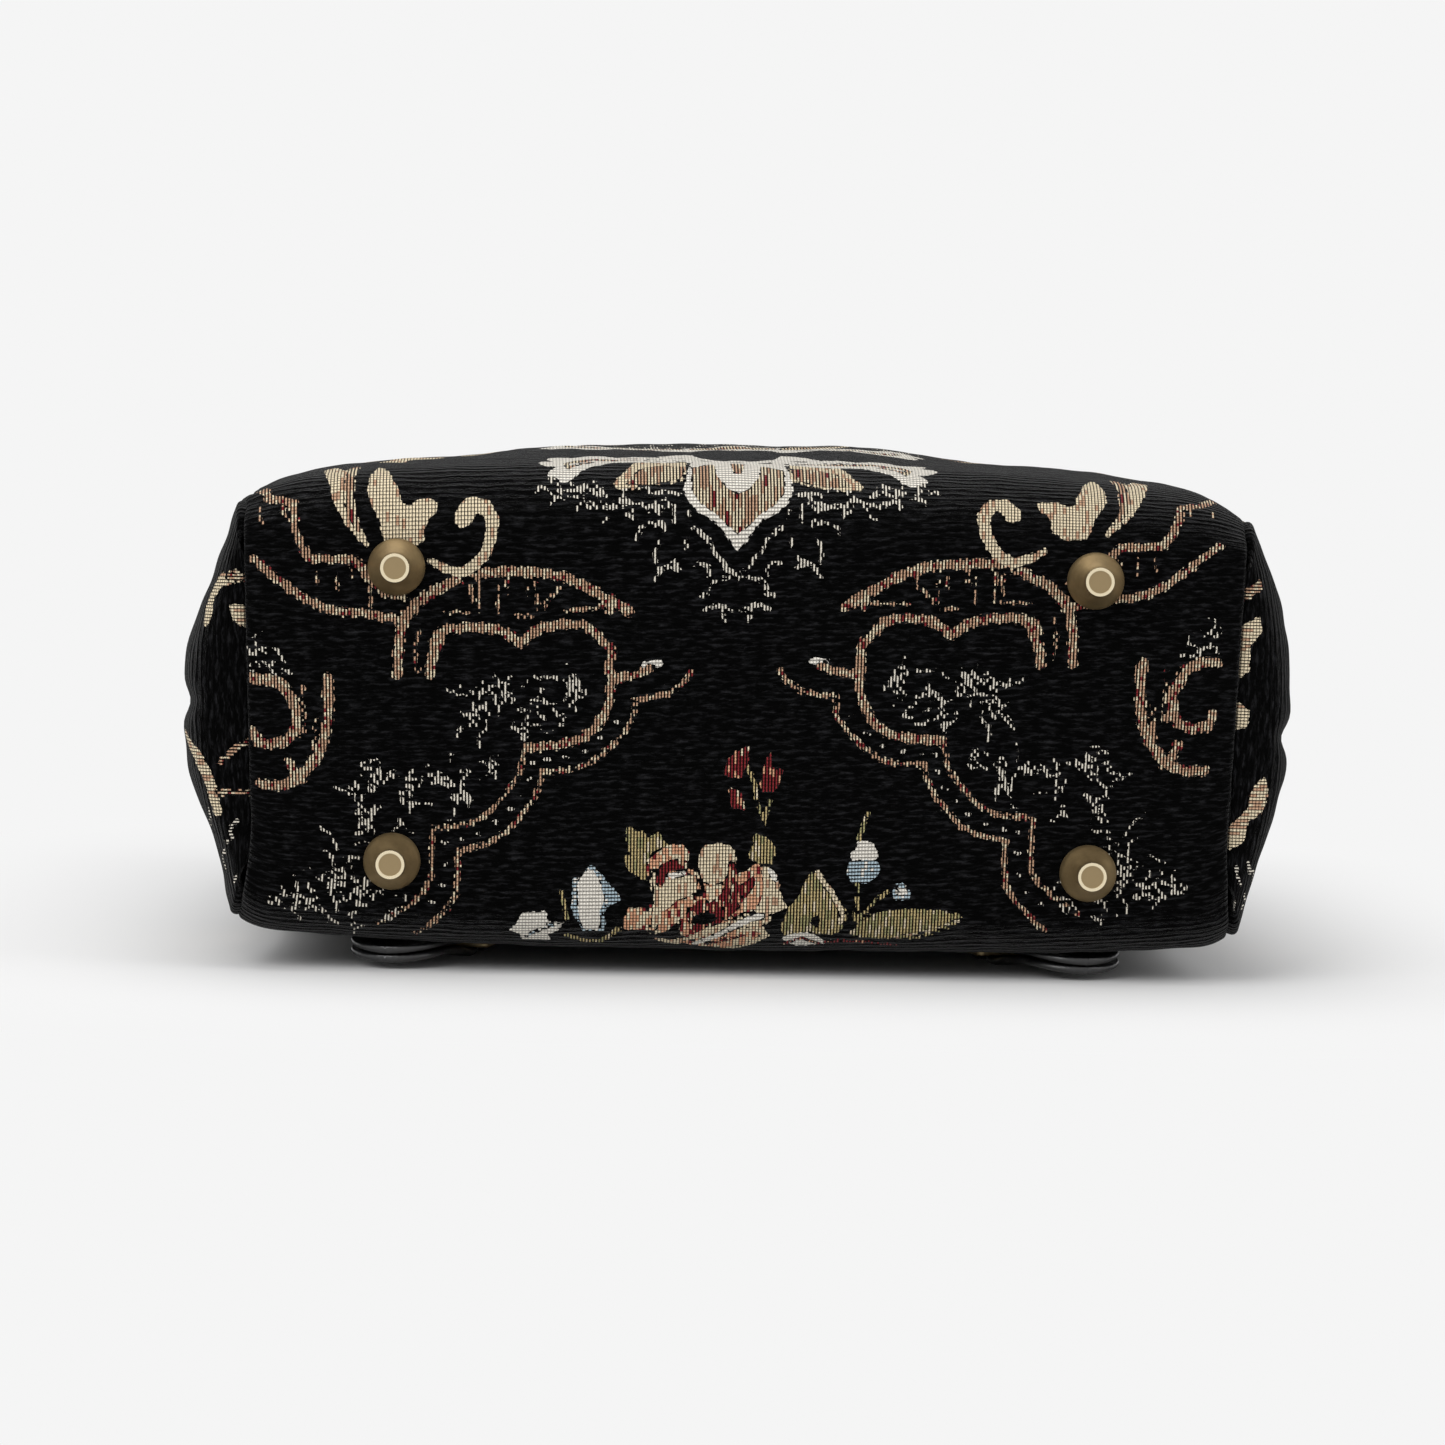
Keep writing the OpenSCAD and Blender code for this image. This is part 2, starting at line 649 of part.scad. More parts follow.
// Pull: a pin under the bridge, an arm on each side of it and a flat tab
module zip_pull() {
    root = bridge_l / 2 + slider_wall + clear;
    arm_y = bridge_w / 2 + clear;
    arm_w = pull_w / 2 - arm_y;
    tab_long = pull_l - root;
    color(brass_colour) translate([slider_x, zip_y, pin_z]) difference() {
        union() {
            rotate([90, 0, 0]) cylinder(d = pin_d, h = pull_w, center = true);
            for (side = [-1, 1])
                translate([-root - pin_d, side * (arm_y + arm_w / 2) - arm_w / 2, -pin_d / 2])
                    cube([root + pin_d, arm_w, pin_d]);
            translate([-root - tab_long / 2, 0, -pin_d / 2]) linear_extrude(height = pin_d)
                polygon(rounded(tab_long, pull_w, pull_w / 3));
        }
        translate([-pull_l + pull_w / 2, 0, -pin_d]) cylinder(d = pull_hole_d, h = 2 * pin_d);
    }
}

// Rivets of the strap ends and of the handle's ends, placed on the back panel
module at_strap_rivets(side) {
    on_strap(side) for (i = [0, 1])
        translate([0, 0, strap_l - rivet_edge - i * rivet_pitch]) rotate([-90, 0, 0]) children();
}
handle_end_z = top_z - patch_drop - handle_end_l / 2 - rivet_d / 2;
module at_handle_rivets() {
    for (side = [-1, 1])
        translate([side * handle_r, back_y, handle_end_z]) rotate([-90, 0, 0]) children();
}
module rivet_hole() { translate([0, 0, -cut]) cylinder(d = rivet_d + 2 * hole_room, h = stack_n + 2 * cut); }
module rivet(head_n) {
    rotate_extrude() polygon([
        [0, seat],
        [rivet_d / 2, seat],
        [rivet_d / 2, head_n],
        [rivet_head_d / 2, head_n],
        [rivet_head_d / 2, head_n + rivet_head_h / 3],
        [rivet_head_d / 3, head_n + rivet_head_h],
        [0, head_n + rivet_head_h],
    ]);
}
module rivets() {
    color(brass_colour) {
        for (side = [-1, 1]) at_strap_rivets(side) rivet(seat + strap_rise + strap_t);
        at_handle_rivets() rivet(seat + strap_rise + handle_end_t);
    }
}

module strap_patch() {
    color(leather_colour) difference() {
        translate([0, back_y, top_z - patch_drop - patch_h / 2])
            on_back(seat, patch_t) polygon(rounded(patch_w, patch_h, patch_r));
        for (side = [-1, 1]) at_strap_rivets(side) rivet_hole();
        at_handle_rivets() rivet_hole();
    }
}

// Rolled handle: an arch with a short leg at each end, sewn on by flat ends
module carry_handle() {
    end_low = handle_end_z - handle_end_l / 2;
    end_high = handle_z - end_low;
    color(leather_colour) difference() {
        union() {
            translate([0, back_y + handle_n, handle_z]) rotate([90, 0, 0])
                rotate_extrude(angle = 180) translate([handle_r, 0]) circle(d = handle_d);
            for (side = [-1, 1]) translate([side * handle_r, back_y, 0]) {
                translate([0, 0, end_low + end_high / 2])
                    on_back(seat + strap_rise, handle_end_t)
                        polygon(rounded(handle_end_w, end_high, handle_end_w / 4));
                translate([0, handle_n, handle_z - handle_d / 2]) cylinder(d = handle_d, h = handle_d / 2);
            }
        }
        at_handle_rivets() rivet_hole();
    }
}

// Strap: folded round its ring, woven through its slide and riveted over the patch
module strap(side) {
    n0 = seat;
    n1 = seat + strap_t;
    over = n1 + 2 * ring_room + slide_t;
    half_slot = slide_h / 2 - slide_bar;
    outline = [
        [n0, strap_low_s],
        [stack_n, strap_low_s],
        [stack_n, strap_low_s + loop_l / 2],
        [double_n, strap_low_s + loop_l],
        [double_n, fold_s],
        [n1, fold_s],
        [n1, slide_s - half_slot],
        [over + strap_t, slide_s - slide_bar / 2],
        [over + strap_t, slide_s + slide_bar / 2],
        [n1, slide_s + half_slot],
        [n1, ramp_s - strap_w / 2],
        [n1 + strap_rise, ramp_s],
        [n1 + strap_rise, strap_l],
        [n0 + strap_rise, strap_l],
        [n0 + strap_rise, ramp_s],
        [n0, ramp_s - strap_w / 2],
        [n0, slide_s + half_slot],
        [over, slide_s + slide_bar / 2 + ring_room],
        [over, slide_s - slide_bar / 2 - ring_room],
        [n0, slide_s - half_slot],
    ];
    gap = [
        [n1, strap_low_s + strap_t],
        [stack_n - strap_t, strap_low_s + strap_t],
        [stack_n - strap_t, strap_low_s + loop_l / 2],
        [n1 + slit, strap_low_s + loop_l],
        [n1 + slit, fold_s + cut],
        [n1, fold_s + cut],
    ];
    color(leather_colour) difference() {
        on_strap(side) band(strap_w) difference() {
            polygon(outline);
            polygon(gap);
        }
        at_strap_rivets(side) rivet_hole();
    }
}
module left_strap() { strap(-1); }
module right_strap() { strap(1); }

// Flat metal frame with one or more bars, standing on a strap
module frame(width, height, bar) {
    difference() {
        polygon(rounded(width, height, bar));
        square([width - 2 * bar, height - 2 * bar], center = true);
    }
}
module adjuster(side) {
    width = strap_w + 2 * slide_bar + 2 * ring_room;
    color(brass_colour) on_strap(side) translate([0, 0, slide_s])
        on_back(seat + strap_t + ring_room, slide_t) {
            frame(width, slide_h, slide_bar);
            square([width - slide_bar, slide_bar], center = true);
        }
}
module left_slide() { adjuster(-1); }
module right_slide() { adjuster(1); }

module ring(side) {
    height = ring_gap + 2 * ring_bar;
    color(brass_colour) on_strap(side) translate([0, 0, ring_low_s + height / 2])
        on_back(seat + strap_t + ring_room, ring_bar) frame(strap_w + 4 * ring_bar, height, ring_bar);
}
module left_ring() { ring(-1); }
module right_ring() { ring(1); }

// Lower tab: one strip folded round the ring, its two round ends sewn together on the back
module tab(side) {
    n0 = seat;
    n1 = seat + strap_t;
    outline = [
        [n0, 0],
        [double_n, 0],
        [double_n, tab_l - loop_l],
        [stack_n, tab_l - loop_l / 2],
        [stack_n, tab_l],
        [n0, tab_l],
    ];
    gap = [
        [n1, -cut],
        [n1 + slit, -cut],
        [n1 + slit, tab_l - loop_l],
        [stack_n - strap_t, tab_l - loop_l / 2],
        [stack_n - strap_t, tab_l - strap_t],
        [n1, tab_l - strap_t],
    ];
    color(leather_colour) on_strap(side) intersection() {
        band(strap_w) difference() {
            polygon(outline);
            polygon(gap);
        }
        on_back(-cut, stack_n + 2 * cut) {
            translate([0, strap_w / 2]) circle(d = strap_w);
            translate([-strap_w, strap_w / 2]) square([2 * strap_w, tab_l]);
        }
    }
}
module left_tab() { tab(-1); }
module right_tab() { tab(1); }

lay() outer_panel();
lay() left_gusset();
lay() right_gusset();
lay() lining();
lay() base_board();
lay() front_left_foot();
lay() front_right_foot();
lay() back_left_foot();
lay() back_right_foot();
lay() foot_washers();
lay() front_zip_tape();
lay() back_zip_tape();
lay() zip_end_stops();
lay() zip_slider();
lay() zip_pull();
lay() strap_patch();
lay() carry_handle();
lay() left_strap();
lay() right_strap();
lay() left_slide();
lay() right_slide();
lay() left_ring();
lay() right_ring();
lay() left_tab();
lay() right_tab();
lay() rivets();
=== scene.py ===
"""Looks of a tapestry backpack that lies on its back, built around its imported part.

The row frame has x across, y from the feet to the mouth and z up, out of the front panel. Shapes are worked
out in millimetres on the standing bag, x across, y from front to back and z up from the feet, and lay()
turns them down. The cloth's formulas repeat those of the part's source.
"""
import math

import bpy
import numpy as np
from mathutils import Matrix


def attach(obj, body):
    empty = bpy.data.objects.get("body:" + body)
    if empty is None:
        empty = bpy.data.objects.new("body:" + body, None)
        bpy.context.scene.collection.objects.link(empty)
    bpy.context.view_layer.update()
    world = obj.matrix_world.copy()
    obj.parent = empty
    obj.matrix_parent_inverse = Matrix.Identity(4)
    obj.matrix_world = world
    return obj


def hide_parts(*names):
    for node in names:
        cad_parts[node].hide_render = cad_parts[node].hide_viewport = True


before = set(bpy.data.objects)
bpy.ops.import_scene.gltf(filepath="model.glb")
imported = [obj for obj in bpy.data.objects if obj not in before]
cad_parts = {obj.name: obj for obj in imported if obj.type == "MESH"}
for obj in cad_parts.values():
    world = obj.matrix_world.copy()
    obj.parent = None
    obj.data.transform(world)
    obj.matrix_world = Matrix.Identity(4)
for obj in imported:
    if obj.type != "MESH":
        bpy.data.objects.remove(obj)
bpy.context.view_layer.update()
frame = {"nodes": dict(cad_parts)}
nodes = frame["nodes"]

# Sizes of the standing bag, in millimetres
BASE_W, BASE_D, BODY_H, TOP_W, SEAM_BOW = 278.0, 134.0, 308.0, 270.0, 5.0
CLOTH_T, FRONT_FOLD_R, BACK_FOLD_R = 2.5, 20.0, 14.0
BELLY_REACH, BELLY_RISE, SHOULDER_REACH, SHOULDER_DROP = 5.0, 114.0, 76.0, 42.0
FRONT_BELLY, FRONT_POWER, BELLY_START, FLARE = 12.0, 1.5, 0.12, 5.0
EDGE_DROP, DROP_POWERS = 8.0, {-1: 10, 1: 15}
FOOT_H, TIP_D, FOOT_X, FOOT_FRONT, FOOT_BACK = 11.0, 8.0, 98.0, 40.5, 42.0
TAPE_W, TAPE_T, COIL_W, COIL_GAP = 18.0, 1.0, 3.0, 1.6
ZIP_OPEN_L, ZIP_OPEN_W, ZIP_END = 150.0, 30.0, 8.0
STRAP_W, STRAP_T, STRAP_TOP_X, STRAP_TOP_DROP = 28.0, 2.0, 30.0, 38.0
TAB_X, TAB_Z, TAB_L, TAB_CURL = 100.0, 20.0, 46.0, 1.5
LOOP_L, SLIT, RING_BAR, RING_ROOM, RING_GAP, FOLD_L = 14.0, 0.6, 2.0, 0.3, 9.0, 62.0
SLIDE_H, SLIDE_T, SLIDE_BAR = 24.0, 1.6, 3.0
PATCH_H, PATCH_T, PATCH_DROP = 68.0, 2.0, 5.0
HANDLE_R, HANDLE_D = 38.0, 8.0
SEAT, SEAM_ROLL, SEAM_TAIL, SEAM_TUCK = 0.2, 1.5, 3.5, 1.0
SEAM_TURNS, HEM_TURNS, HEM_L = (25, 50, 75, 90), (45, 90, 135, 180), 8.0
BACK_LIFT, LIFT_LEAN, LIFT_TOP, CORNER_ROUND = 3.6, 0.6, 190.0, 2.4
EARS, EAR_REACH, EAR_L = {-1: 5.6, 1: 3.8}, 36.0, 80.0
SIDE_BELLIES, SIDE_POWERS = {-1: 18.0, 1: 16.0}, {-1: 1.1, 1: 0.92}
SIDE_CREASE, CREASE_W, CREASES_AT = 2.2, 0.035, {-1: 0.46, 1: 0.5}
PUCKER, PUCKER_PITCH, PUCKER_REACH = 0.3, 12.5, 8.0
DIMPLE, DIMPLE_R = 0.4, 14.0
STITCH_L, STITCH_PITCH, STITCH_DROP = 3.4, 4.6, 5.5
LINING_IN, LINING_SLACK, LINING_WAVE, BOARD_ROOM, SIDE_IN = 3.6, 0.9, 42.0, 5.0, 6.0

FRONT_Y, BACK_Y, TOP_Z = -BASE_D / 2, BASE_D / 2, FOOT_H + BODY_H
STACK = SEAT + 2 * STRAP_T + RING_BAR + 2 * RING_ROOM
FLOOR_Y = BACK_Y + STACK
HANDLE_Z = TOP_Z + HANDLE_D
TOTAL_H = HANDLE_Z + HANDLE_R + HANDLE_D / 2
ZIP_Y = BACK_Y - CLOTH_T - SEAT - TAPE_W - COIL_W - COIL_GAP / 2
TAPE_Z = TOP_Z - 2 * TAPE_T
FRONT_TOP_Y = ZIP_Y - COIL_GAP / 2 - COIL_W - TAPE_W - 0.85 * CLOTH_T
ZIP_HALF = TOP_W / 2 - 2 * SEAT
OPEN_START = ZIP_HALF - ZIP_END - ZIP_OPEN_L
FOLD_SWEEP = math.pi / 2 - math.atan2(BELLY_REACH, BELLY_RISE)
FEET = {
    "front_left_foot": (-FOOT_X, -FOOT_FRONT),
    "front_right_foot": (FOOT_X, -FOOT_FRONT),
    "back_left_foot": (-FOOT_X, FOOT_BACK),
    "back_right_foot": (FOOT_X, FOOT_BACK),
}


def lay(x, y, z):
    """Standing millimetres to the row frame in metres: the bag is turned on its back and set on the floor."""
    x, y, z = np.broadcast_arrays(x, y, z)
    return np.stack([x, z - TOTAL_H / 2, FLOOR_Y - y], -1) / 1000


def mix(a, b, share):
    return a + (b - a) * share


def smooth(low, high, value):
    """0 below low, 1 above high and 3t^2 - 2t^3 between them."""
    t = np.clip((value - low) / (high - low), 0, 1)
    return t * t * (3 - 2 * t)


def ripples(a, b, wave, seed, count=9):
    """Soft unevenness between about -1 and 1: a mean of sine waves of about that wavelength in random directions."""
    rng = np.random.default_rng(seed)
    turns, phases = rng.uniform(0, np.pi, count), rng.uniform(0, 2 * np.pi, count)
    waves = wave * rng.uniform(0.6, 1.5, count)
    each = zip(turns, phases, waves)
    return sum(np.sin(2 * np.pi * (a * np.cos(t) + b * np.sin(t)) / w + p) for t, p, w in each) / math.sqrt(count)


# The cloth's surfaces


def half_width(y, z):
    """Half the body's width: the base's and the mouth's mixed by height, plus a bow, less a flare to the back."""
    s = (z - FOOT_H) / BODY_H
    return mix(BASE_W, TOP_W, s) / 2 + SEAM_BOW * 4 * s * (1 - s) - FLARE * (1 - s) * y / BASE_D


def mouth_gap(x):
    """How far the open zip pushes the mouth's front edge forward: half a sine wave over the open length."""
    s = np.clip((x - OPEN_START) / ZIP_OPEN_L, 0, 1)
    return ZIP_OPEN_W * np.sin(np.pi * s)


def front_fold(q):
    """Arc from the base, q 0, to the front panel, q 1."""
    a = FOLD_SWEEP * q
    return FRONT_Y + FRONT_FOLD_R * (1 - np.sin(a)), FOOT_H + FRONT_FOLD_R * (1 - np.cos(a))


def front_curve(t, gap):
    """Cubic curve with four poles from the front fold, t 0, to the mouth, t 1."""
    y0, z0 = front_fold(1.0)
    ys = (y0, y0 - BELLY_REACH, FRONT_TOP_Y - SHOULDER_REACH, FRONT_TOP_Y - gap)
    zs = (z0, z0 + BELLY_RISE, TOP_Z - SHOULDER_DROP, TOP_Z)
    weights = ((1 - t) ** 3, 3 * t * (1 - t) ** 2, 3 * t * t * (1 - t), t**3)
    return sum(w * y for w, y in zip(weights, ys)), sum(w * z for w, z in zip(weights, zs))


def back_fold(q):
    """Quarter arc from the base, q 0, to the back panel, q 1."""
    a = np.pi / 2 * q
    return BACK_Y - BACK_FOLD_R * (1 - np.sin(a)), FOOT_H + BACK_FOLD_R * (1 - np.cos(a))


def back_lift(u, y, z):
    """How far the back's lower corners lift off the floor: by u^3 to each side, the most at the base's back edge, and
    by u^40 at the corner itself, which rounds it."""
    lift = (BACK_LIFT - LIFT_LEAN * u) * np.abs(u) ** 3 + CORNER_ROUND * np.abs(u) ** 40
    return lift * smooth(0, BACK_Y, y) * (1 - smooth(FOOT_H, LIFT_TOP, z))


def ear(u, y, z):
    """How far the base's back corners stand out to the sides: by u^4 across, and by the square of the nearness to the
    back."""
    near = np.clip((y - BACK_Y + EAR_REACH) / EAR_REACH, 0, 1) ** 2 * (1 - smooth(FOOT_H, FOOT_H + EAR_L, z))
    return np.where(u < 0, EARS[-1], EARS[1]) * np.sign(u) * np.abs(u) ** 4 * near


def normals_of(points):
    """Unit normals of a grid of points, from the cross product of its two slopes."""
    n = np.cross(np.gradient(points, axis=0), np.gradient(points, axis=1))
    return n / np.maximum(np.linalg.norm(n, axis=-1, keepdims=True), 1e-12)


def wrap_surface(columns, rows):
    """Front, base and back in one sheet. Column u runs from side seam to side seam, and the rows from the front's
    mouth over both folds to the back's mouth. The front bellies by (1 - u^2)^1.5, and its corners drop by u^10 on
    the left and u^15 on the right.
    Returns the standing points, the flat place across and along the cloth, and u."""
    n_front, n_fold, n_base, n_turn, n_back = rows
    u = np.linspace(-1, 1, columns)[:, None] * (1 - 2 * SEAM_ROLL / BASE_W)
    gap = mouth_gap(u * TOP_W / 2)
    t = np.linspace(1, 0, n_front)[None]
    fy, fz = front_curve(t, gap)
    q = np.linspace(1, 0, n_fold)[1:][None]
    qy, qz = front_fold(q)
    by = np.linspace(FRONT_Y + FRONT_FOLD_R, BACK_Y - BACK_FOLD_R, n_base)[1:][None]
    r = np.linspace(0, 1, n_turn)[1:][None]
    ry, rz = back_fold(r)
    h = np.linspace(0, 1, n_back)[1:][None]
    ones = np.ones_like(u)
    y = np.hstack([fy, ones * qy, ones * by, ones * ry, ones * BACK_Y + 0 * h])
    z = ones * np.hstack([fz, qz, FOOT_H + 0 * by, rz, mix(FOOT_H + BACK_FOLD_R, TOP_Z, h)])
    flat = np.zeros((1, y.shape[1] - n_front - n_fold + 1))
    belly = np.hstack([np.sin(np.pi * mix(BELLY_START, 1, t)), np.sin(np.pi * BELLY_START * q), flat])
    drop = np.hstack([1 - t, q, flat])
    edge_y = y + EDGE_DROP * drop
    edge = u / np.max(u)
    x = u * half_width(edge_y, z) + ear(edge, edge_y, z)
    fall = np.where(u < 0, DROP_POWERS[-1], DROP_POWERS[1])
    y = y - FRONT_BELLY * (1 - u**2) ** FRONT_POWER * belly + EDGE_DROP * np.abs(edge) ** fall * drop
    y = y - back_lift(edge, y, z)
    line_y, line_z = middle_line(t, q, by, r, h)
    along = np.concatenate([[0], np.cumsum(np.hypot(np.diff(line_y), np.diff(line_z)))])
    base = slice(n_front + n_fold - 2, n_front + n_fold - 2 + n_base)
    along = np.broadcast_to(np.interp(0, line_y[base], along[base]) - along, x.shape)
    return np.stack([x, y, z], -1), np.broadcast_to(u * BASE_W / 2, x.shape), along, np.broadcast_to(u, x.shape)


def middle_line(t, q, by, r, h):
    """The wrap's line down its middle with the zip closed, for lengths along the cloth."""
    fy, fz = front_curve(t, 0)
    qy, qz = front_fold(q)
    ry, rz = back_fold(r)
    y = np.concatenate([fy[0], qy[0], by[0], ry[0], BACK_Y + 0 * h[0]])
    z = np.concatenate([fz[0], qz[0], FOOT_H + 0 * by[0], rz[0], mix(FOOT_H + BACK_FOLD_R, TOP_Z, h[0])])
    return y, z


def gusset_surface(side, columns, rows):
    """Side panel: column a runs from the front seam to the back seam and row k from the base's edge to the mouth.
    It bellies by sin(pi a)^p across and sin(pi k^0.7)^0.8 up, with a crease near the middle, and its edges lie just
    inside the wrap. Returns the standing points and a."""
    n_fold = rows // 5
    q = np.linspace(0, 1, n_fold) ** 1.6
    t = np.linspace(0, 1, rows - n_fold + 1)[1:]
    fy, fz = front_fold(q)
    ty, tz = front_curve(t, 0)
    low = front_fold(1.0)[1]
    gy, gz = back_fold(q)
    raised = (SEAM_ROLL + SEAM_TUCK) * (1 - smooth(0, 0.6, q))
    fz, gz = fz + raised, gz + raised
    front_y = np.concatenate([fy + EDGE_DROP * q, ty + EDGE_DROP * (1 - t)])
    front_z = np.concatenate([fz, tz])
    back_y = np.concatenate([gy, BACK_Y + 0 * t])
    back_z = np.concatenate([gz, mix(FOOT_H + BACK_FOLD_R, TOP_Z, (tz - low) / (TOP_Z - low))])
    k = np.concatenate([q / 3, (1 + 2 * t) / 3])[None]
    v = np.linspace(0, 1, columns)[:, None]
    inset = (SEAM_ROLL + SEAM_TUCK) / (back_y - front_y)[None]
    a = mix(inset, 1 - inset, 0.4 * v + 0.6 * (0.5 - 0.5 * np.cos(np.pi * v)))
    y, z = mix(front_y[None], back_y[None], a), mix(front_z[None], back_z[None], a)
    rise = np.sin(np.pi * k**0.7).clip(0) ** 0.8
    crease = SIDE_CREASE * np.exp(-(((a - CREASES_AT[side]) / CREASE_W) ** 2))
    belly = SIDE_BELLIES[side] * np.sin(np.pi * a).clip(0) ** SIDE_POWERS[side]
    x = half_width(y, z) + SEAM_ROLL - SEAT + rise * (belly - crease)
    x = side * x + ear(np.array(side), y, z)
    return np.stack([x, y - back_lift(side, y, z), z], -1), np.broadcast_to(a, x.shape)


# Meshes


def quads_of(columns, rows, closed=False):
    """Quads between the points of a grid, by number. closed joins each column's last point to its first."""
    index = np.arange(columns * rows).reshape(columns, rows)
    if closed:
        index = np.hstack([index, index[:, :1]])
    return np.stack([index[:-1, :-1], index[1:, :-1], index[1:, 1:], index[:-1, 1:]], -1).reshape(-1, 4)


def grid_piece(name, points, look, uv=None, fields=None, closed=False, flip=False):
    """Piece made of a grid of points in metres. flip turns its faces over."""
    quads = quads_of(*points.shape[:2], closed)
    return mesh_piece(name, points.reshape(-1, 3), quads[:, ::-1] if flip else quads, look, uv, fields)


def mesh_piece(name, points, faces, look, uv=None, fields=None):
    """Piece of these points and faces, shaded smooth, with a flat-cloth UV map and vector fields where given."""
    mesh = bpy.data.meshes.new(name)
    mesh.from_pydata(points, [], faces)
    mesh.polygons.foreach_set("use_smooth", np.ones(len(mesh.polygons), bool))
    if uv is not None:
        corner = np.zeros(len(mesh.loops), np.int32)
        mesh.loops.foreach_get("vertex_index", corner)
        layer = mesh.uv_layers.new(name="cloth")
        layer.uv.foreach_set("vector", uv.reshape(-1, 2)[corner].astype(np.float32).ravel())
    for key, values in (fields or {}).items():
        attribute = mesh.attributes.new(key, "FLOAT_VECTOR", "POINT")
        attribute.data.foreach_set("vector", values.reshape(-1, 3).astype(np.float32).ravel())
    mesh.materials.append(look)
    mesh.update()
    piece = bpy.data.objects.new(name, mesh)
    bpy.context.scene.collection.objects.link(piece)
    return piece


def repeated(name, shape_points, shape_faces, places, look):
    """One piece of many copies of a small shape: places is an array of 3 x 4 matrices, turned axes then the spot."""
    points = np.einsum("nij,pj->npi", places[:, :, :3], shape_points) + places[:, None, :, 3]
    first = len(shape_points) * np.arange(len(places))
    faces = (shape_faces[None] + first[:, None, None]).reshape(-1, shape_faces.shape[1])
    return mesh_piece(name, points.reshape(-1, 3), faces, look)


def ride(piece, body, slot, *replaced):
    """The piece rides on a body and stands for CAD nodes, which it hides. slot is not used."""
    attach(piece, body)
    if replaced:
        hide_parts(*replaced)
    return piece


# Shaders


class Value:
    """A shader socket with Python's operators: each one adds a Math node."""

    def __init__(self, nodes, socket):
        self.nodes, self.socket = nodes, socket

    def math(self, operation, *others):
        return self.nodes.node("Math", {"operation": operation}, dict(enumerate((self, *others))))

    def __add__(self, other):
        return self.math("ADD", other)

    def __sub__(self, other):
        return self.math("SUBTRACT", other)

    def __rsub__(self, other):
        return self.nodes.node("Math", {"operation": "SUBTRACT"}, {0: other, 1: self})

    def __mul__(self, other):
        return self.math("MULTIPLY", other)

    def __truediv__(self, other):
        return self.math("DIVIDE", other)

    def __lt__(self, other):
        return self.math("LESS_THAN", other)

    __radd__, __rmul__ = __add__, __mul__

    def below(self, limit, soft):
        """1 under the limit, falling to 0 over a soft edge."""
        edge = {0: self, 1: limit - soft, 2: limit + soft, 3: 1.0, 4: 0.0}
        return self.nodes.node("MapRange", {"interpolation_type": "SMOOTHSTEP"}, edge)

    def above(self, limit, soft):
        """0 under the limit, rising to 1 over a soft edge."""
        return 1 - self.below(limit, soft)

    def hill(self, pitch):
        """Triangle wave of that pitch: 0 at each joint and 1 half way between two joints."""
        return 1 - ((self / pitch).math("FRACT") * 2 - 1).math("ABSOLUTE")


class Nodes:
    """A node tree built from expressions."""

    def __init__(self, tree):
        self.tree = tree
        tree.nodes.clear()

    def node(self, kind, settings=None, inputs=None, out=0):
        """Any node: its type, its settings, the values or links of its sockets and the output that is wanted."""
        made = self.tree.nodes.new("ShaderNode" + kind)
        for key, value in (settings or {}).items():
            if key == "steps":
                made.color_ramp.interpolation = "CONSTANT"
                ramp = made.color_ramp.elements
                while len(ramp) < len(value):
                    ramp.new(1.0)
                for stop, (place, dye) in zip(ramp, value):
                    stop.position, stop.color = place, (*dye, 1)
            else:
                setattr(made, key, value)
        for key, value in (inputs or {}).items():
            self.feed(made.inputs[key], value)
        return Value(self, made.outputs[out])

    def feed(self, socket, value):
        if isinstance(value, Value):
            self.tree.links.new(value.socket, socket)
        elif socket.type == "RGBA" and len(value) == 3:
            socket.default_value = (*value, 1)
        else:
            socket.default_value = value

    def seen(self):
        """1 for what the camera sees, in a gloss or through glass as well, and 0 for what lights the scene."""
        ray = self.node("LightPath", out="Is Camera Ray")
        for name in ("Is Glossy Ray", "Is Transmission Ray"):
            ray = ray.math("MAXIMUM", self.node("LightPath", out=name))
        return ray


class Look(Nodes):
    """A material with one principled shader."""

    def __init__(self, name, **constants):
        self.material = bpy.data.materials.new(name)
        self.material.use_nodes = True
        super().__init__(self.material.node_tree)
        self.shader = self.tree.nodes.new("ShaderNodeBsdfPrincipled")
        self.end = self.tree.nodes.new("ShaderNodeOutputMaterial")
        self.feed(self.end.inputs[0], self.surface())
        self.set(**constants)

    def surface(self):
        return Value(self, self.shader.outputs[0])

    def set(self, **inputs):
        """Shader inputs by name, with an underscore for a space."""
        for key, value in inputs.items():
            self.feed(self.shader.inputs[key.replace("_", " ")], value)

    def mix(self, share, a, b):
        """Colour a where share is 0 and b where it is 1."""
        return self.node("Mix", {"data_type": "RGBA"}, {0: share, 6: a, 7: b}, out=2)

    def split(self, vector):
        made = self.node("SeparateXYZ", {}, {0: vector})
        return [Value(self, output) for output in made.socket.node.outputs]

    def place(self):
        """Object coordinates."""
        return self.node("TexCoord", out="Object")

    def noise(self, vector, scale, detail=2.0, rough=0.5):
        return self.node("TexNoise", {}, {"Vector": vector, "Scale": scale, "Detail": detail, "Roughness": rough})

    def vector(self, x, y, z=0.0):
        return self.node("CombineXYZ", {}, {0: x, 1: y, 2: z})

    def random(self, x, y):
        """A number from 0 to 1 for each whole x and y."""
        return self.node("TexWhiteNoise", {"noise_dimensions": "2D"}, {"Vector": self.vector(x, y)})

    def bump(self, height, distance, strength=1.0):
        bump = self.node("Bump", {}, {"Height": height, "Distance": distance, "Strength": strength})
        self.set(Normal=bump)


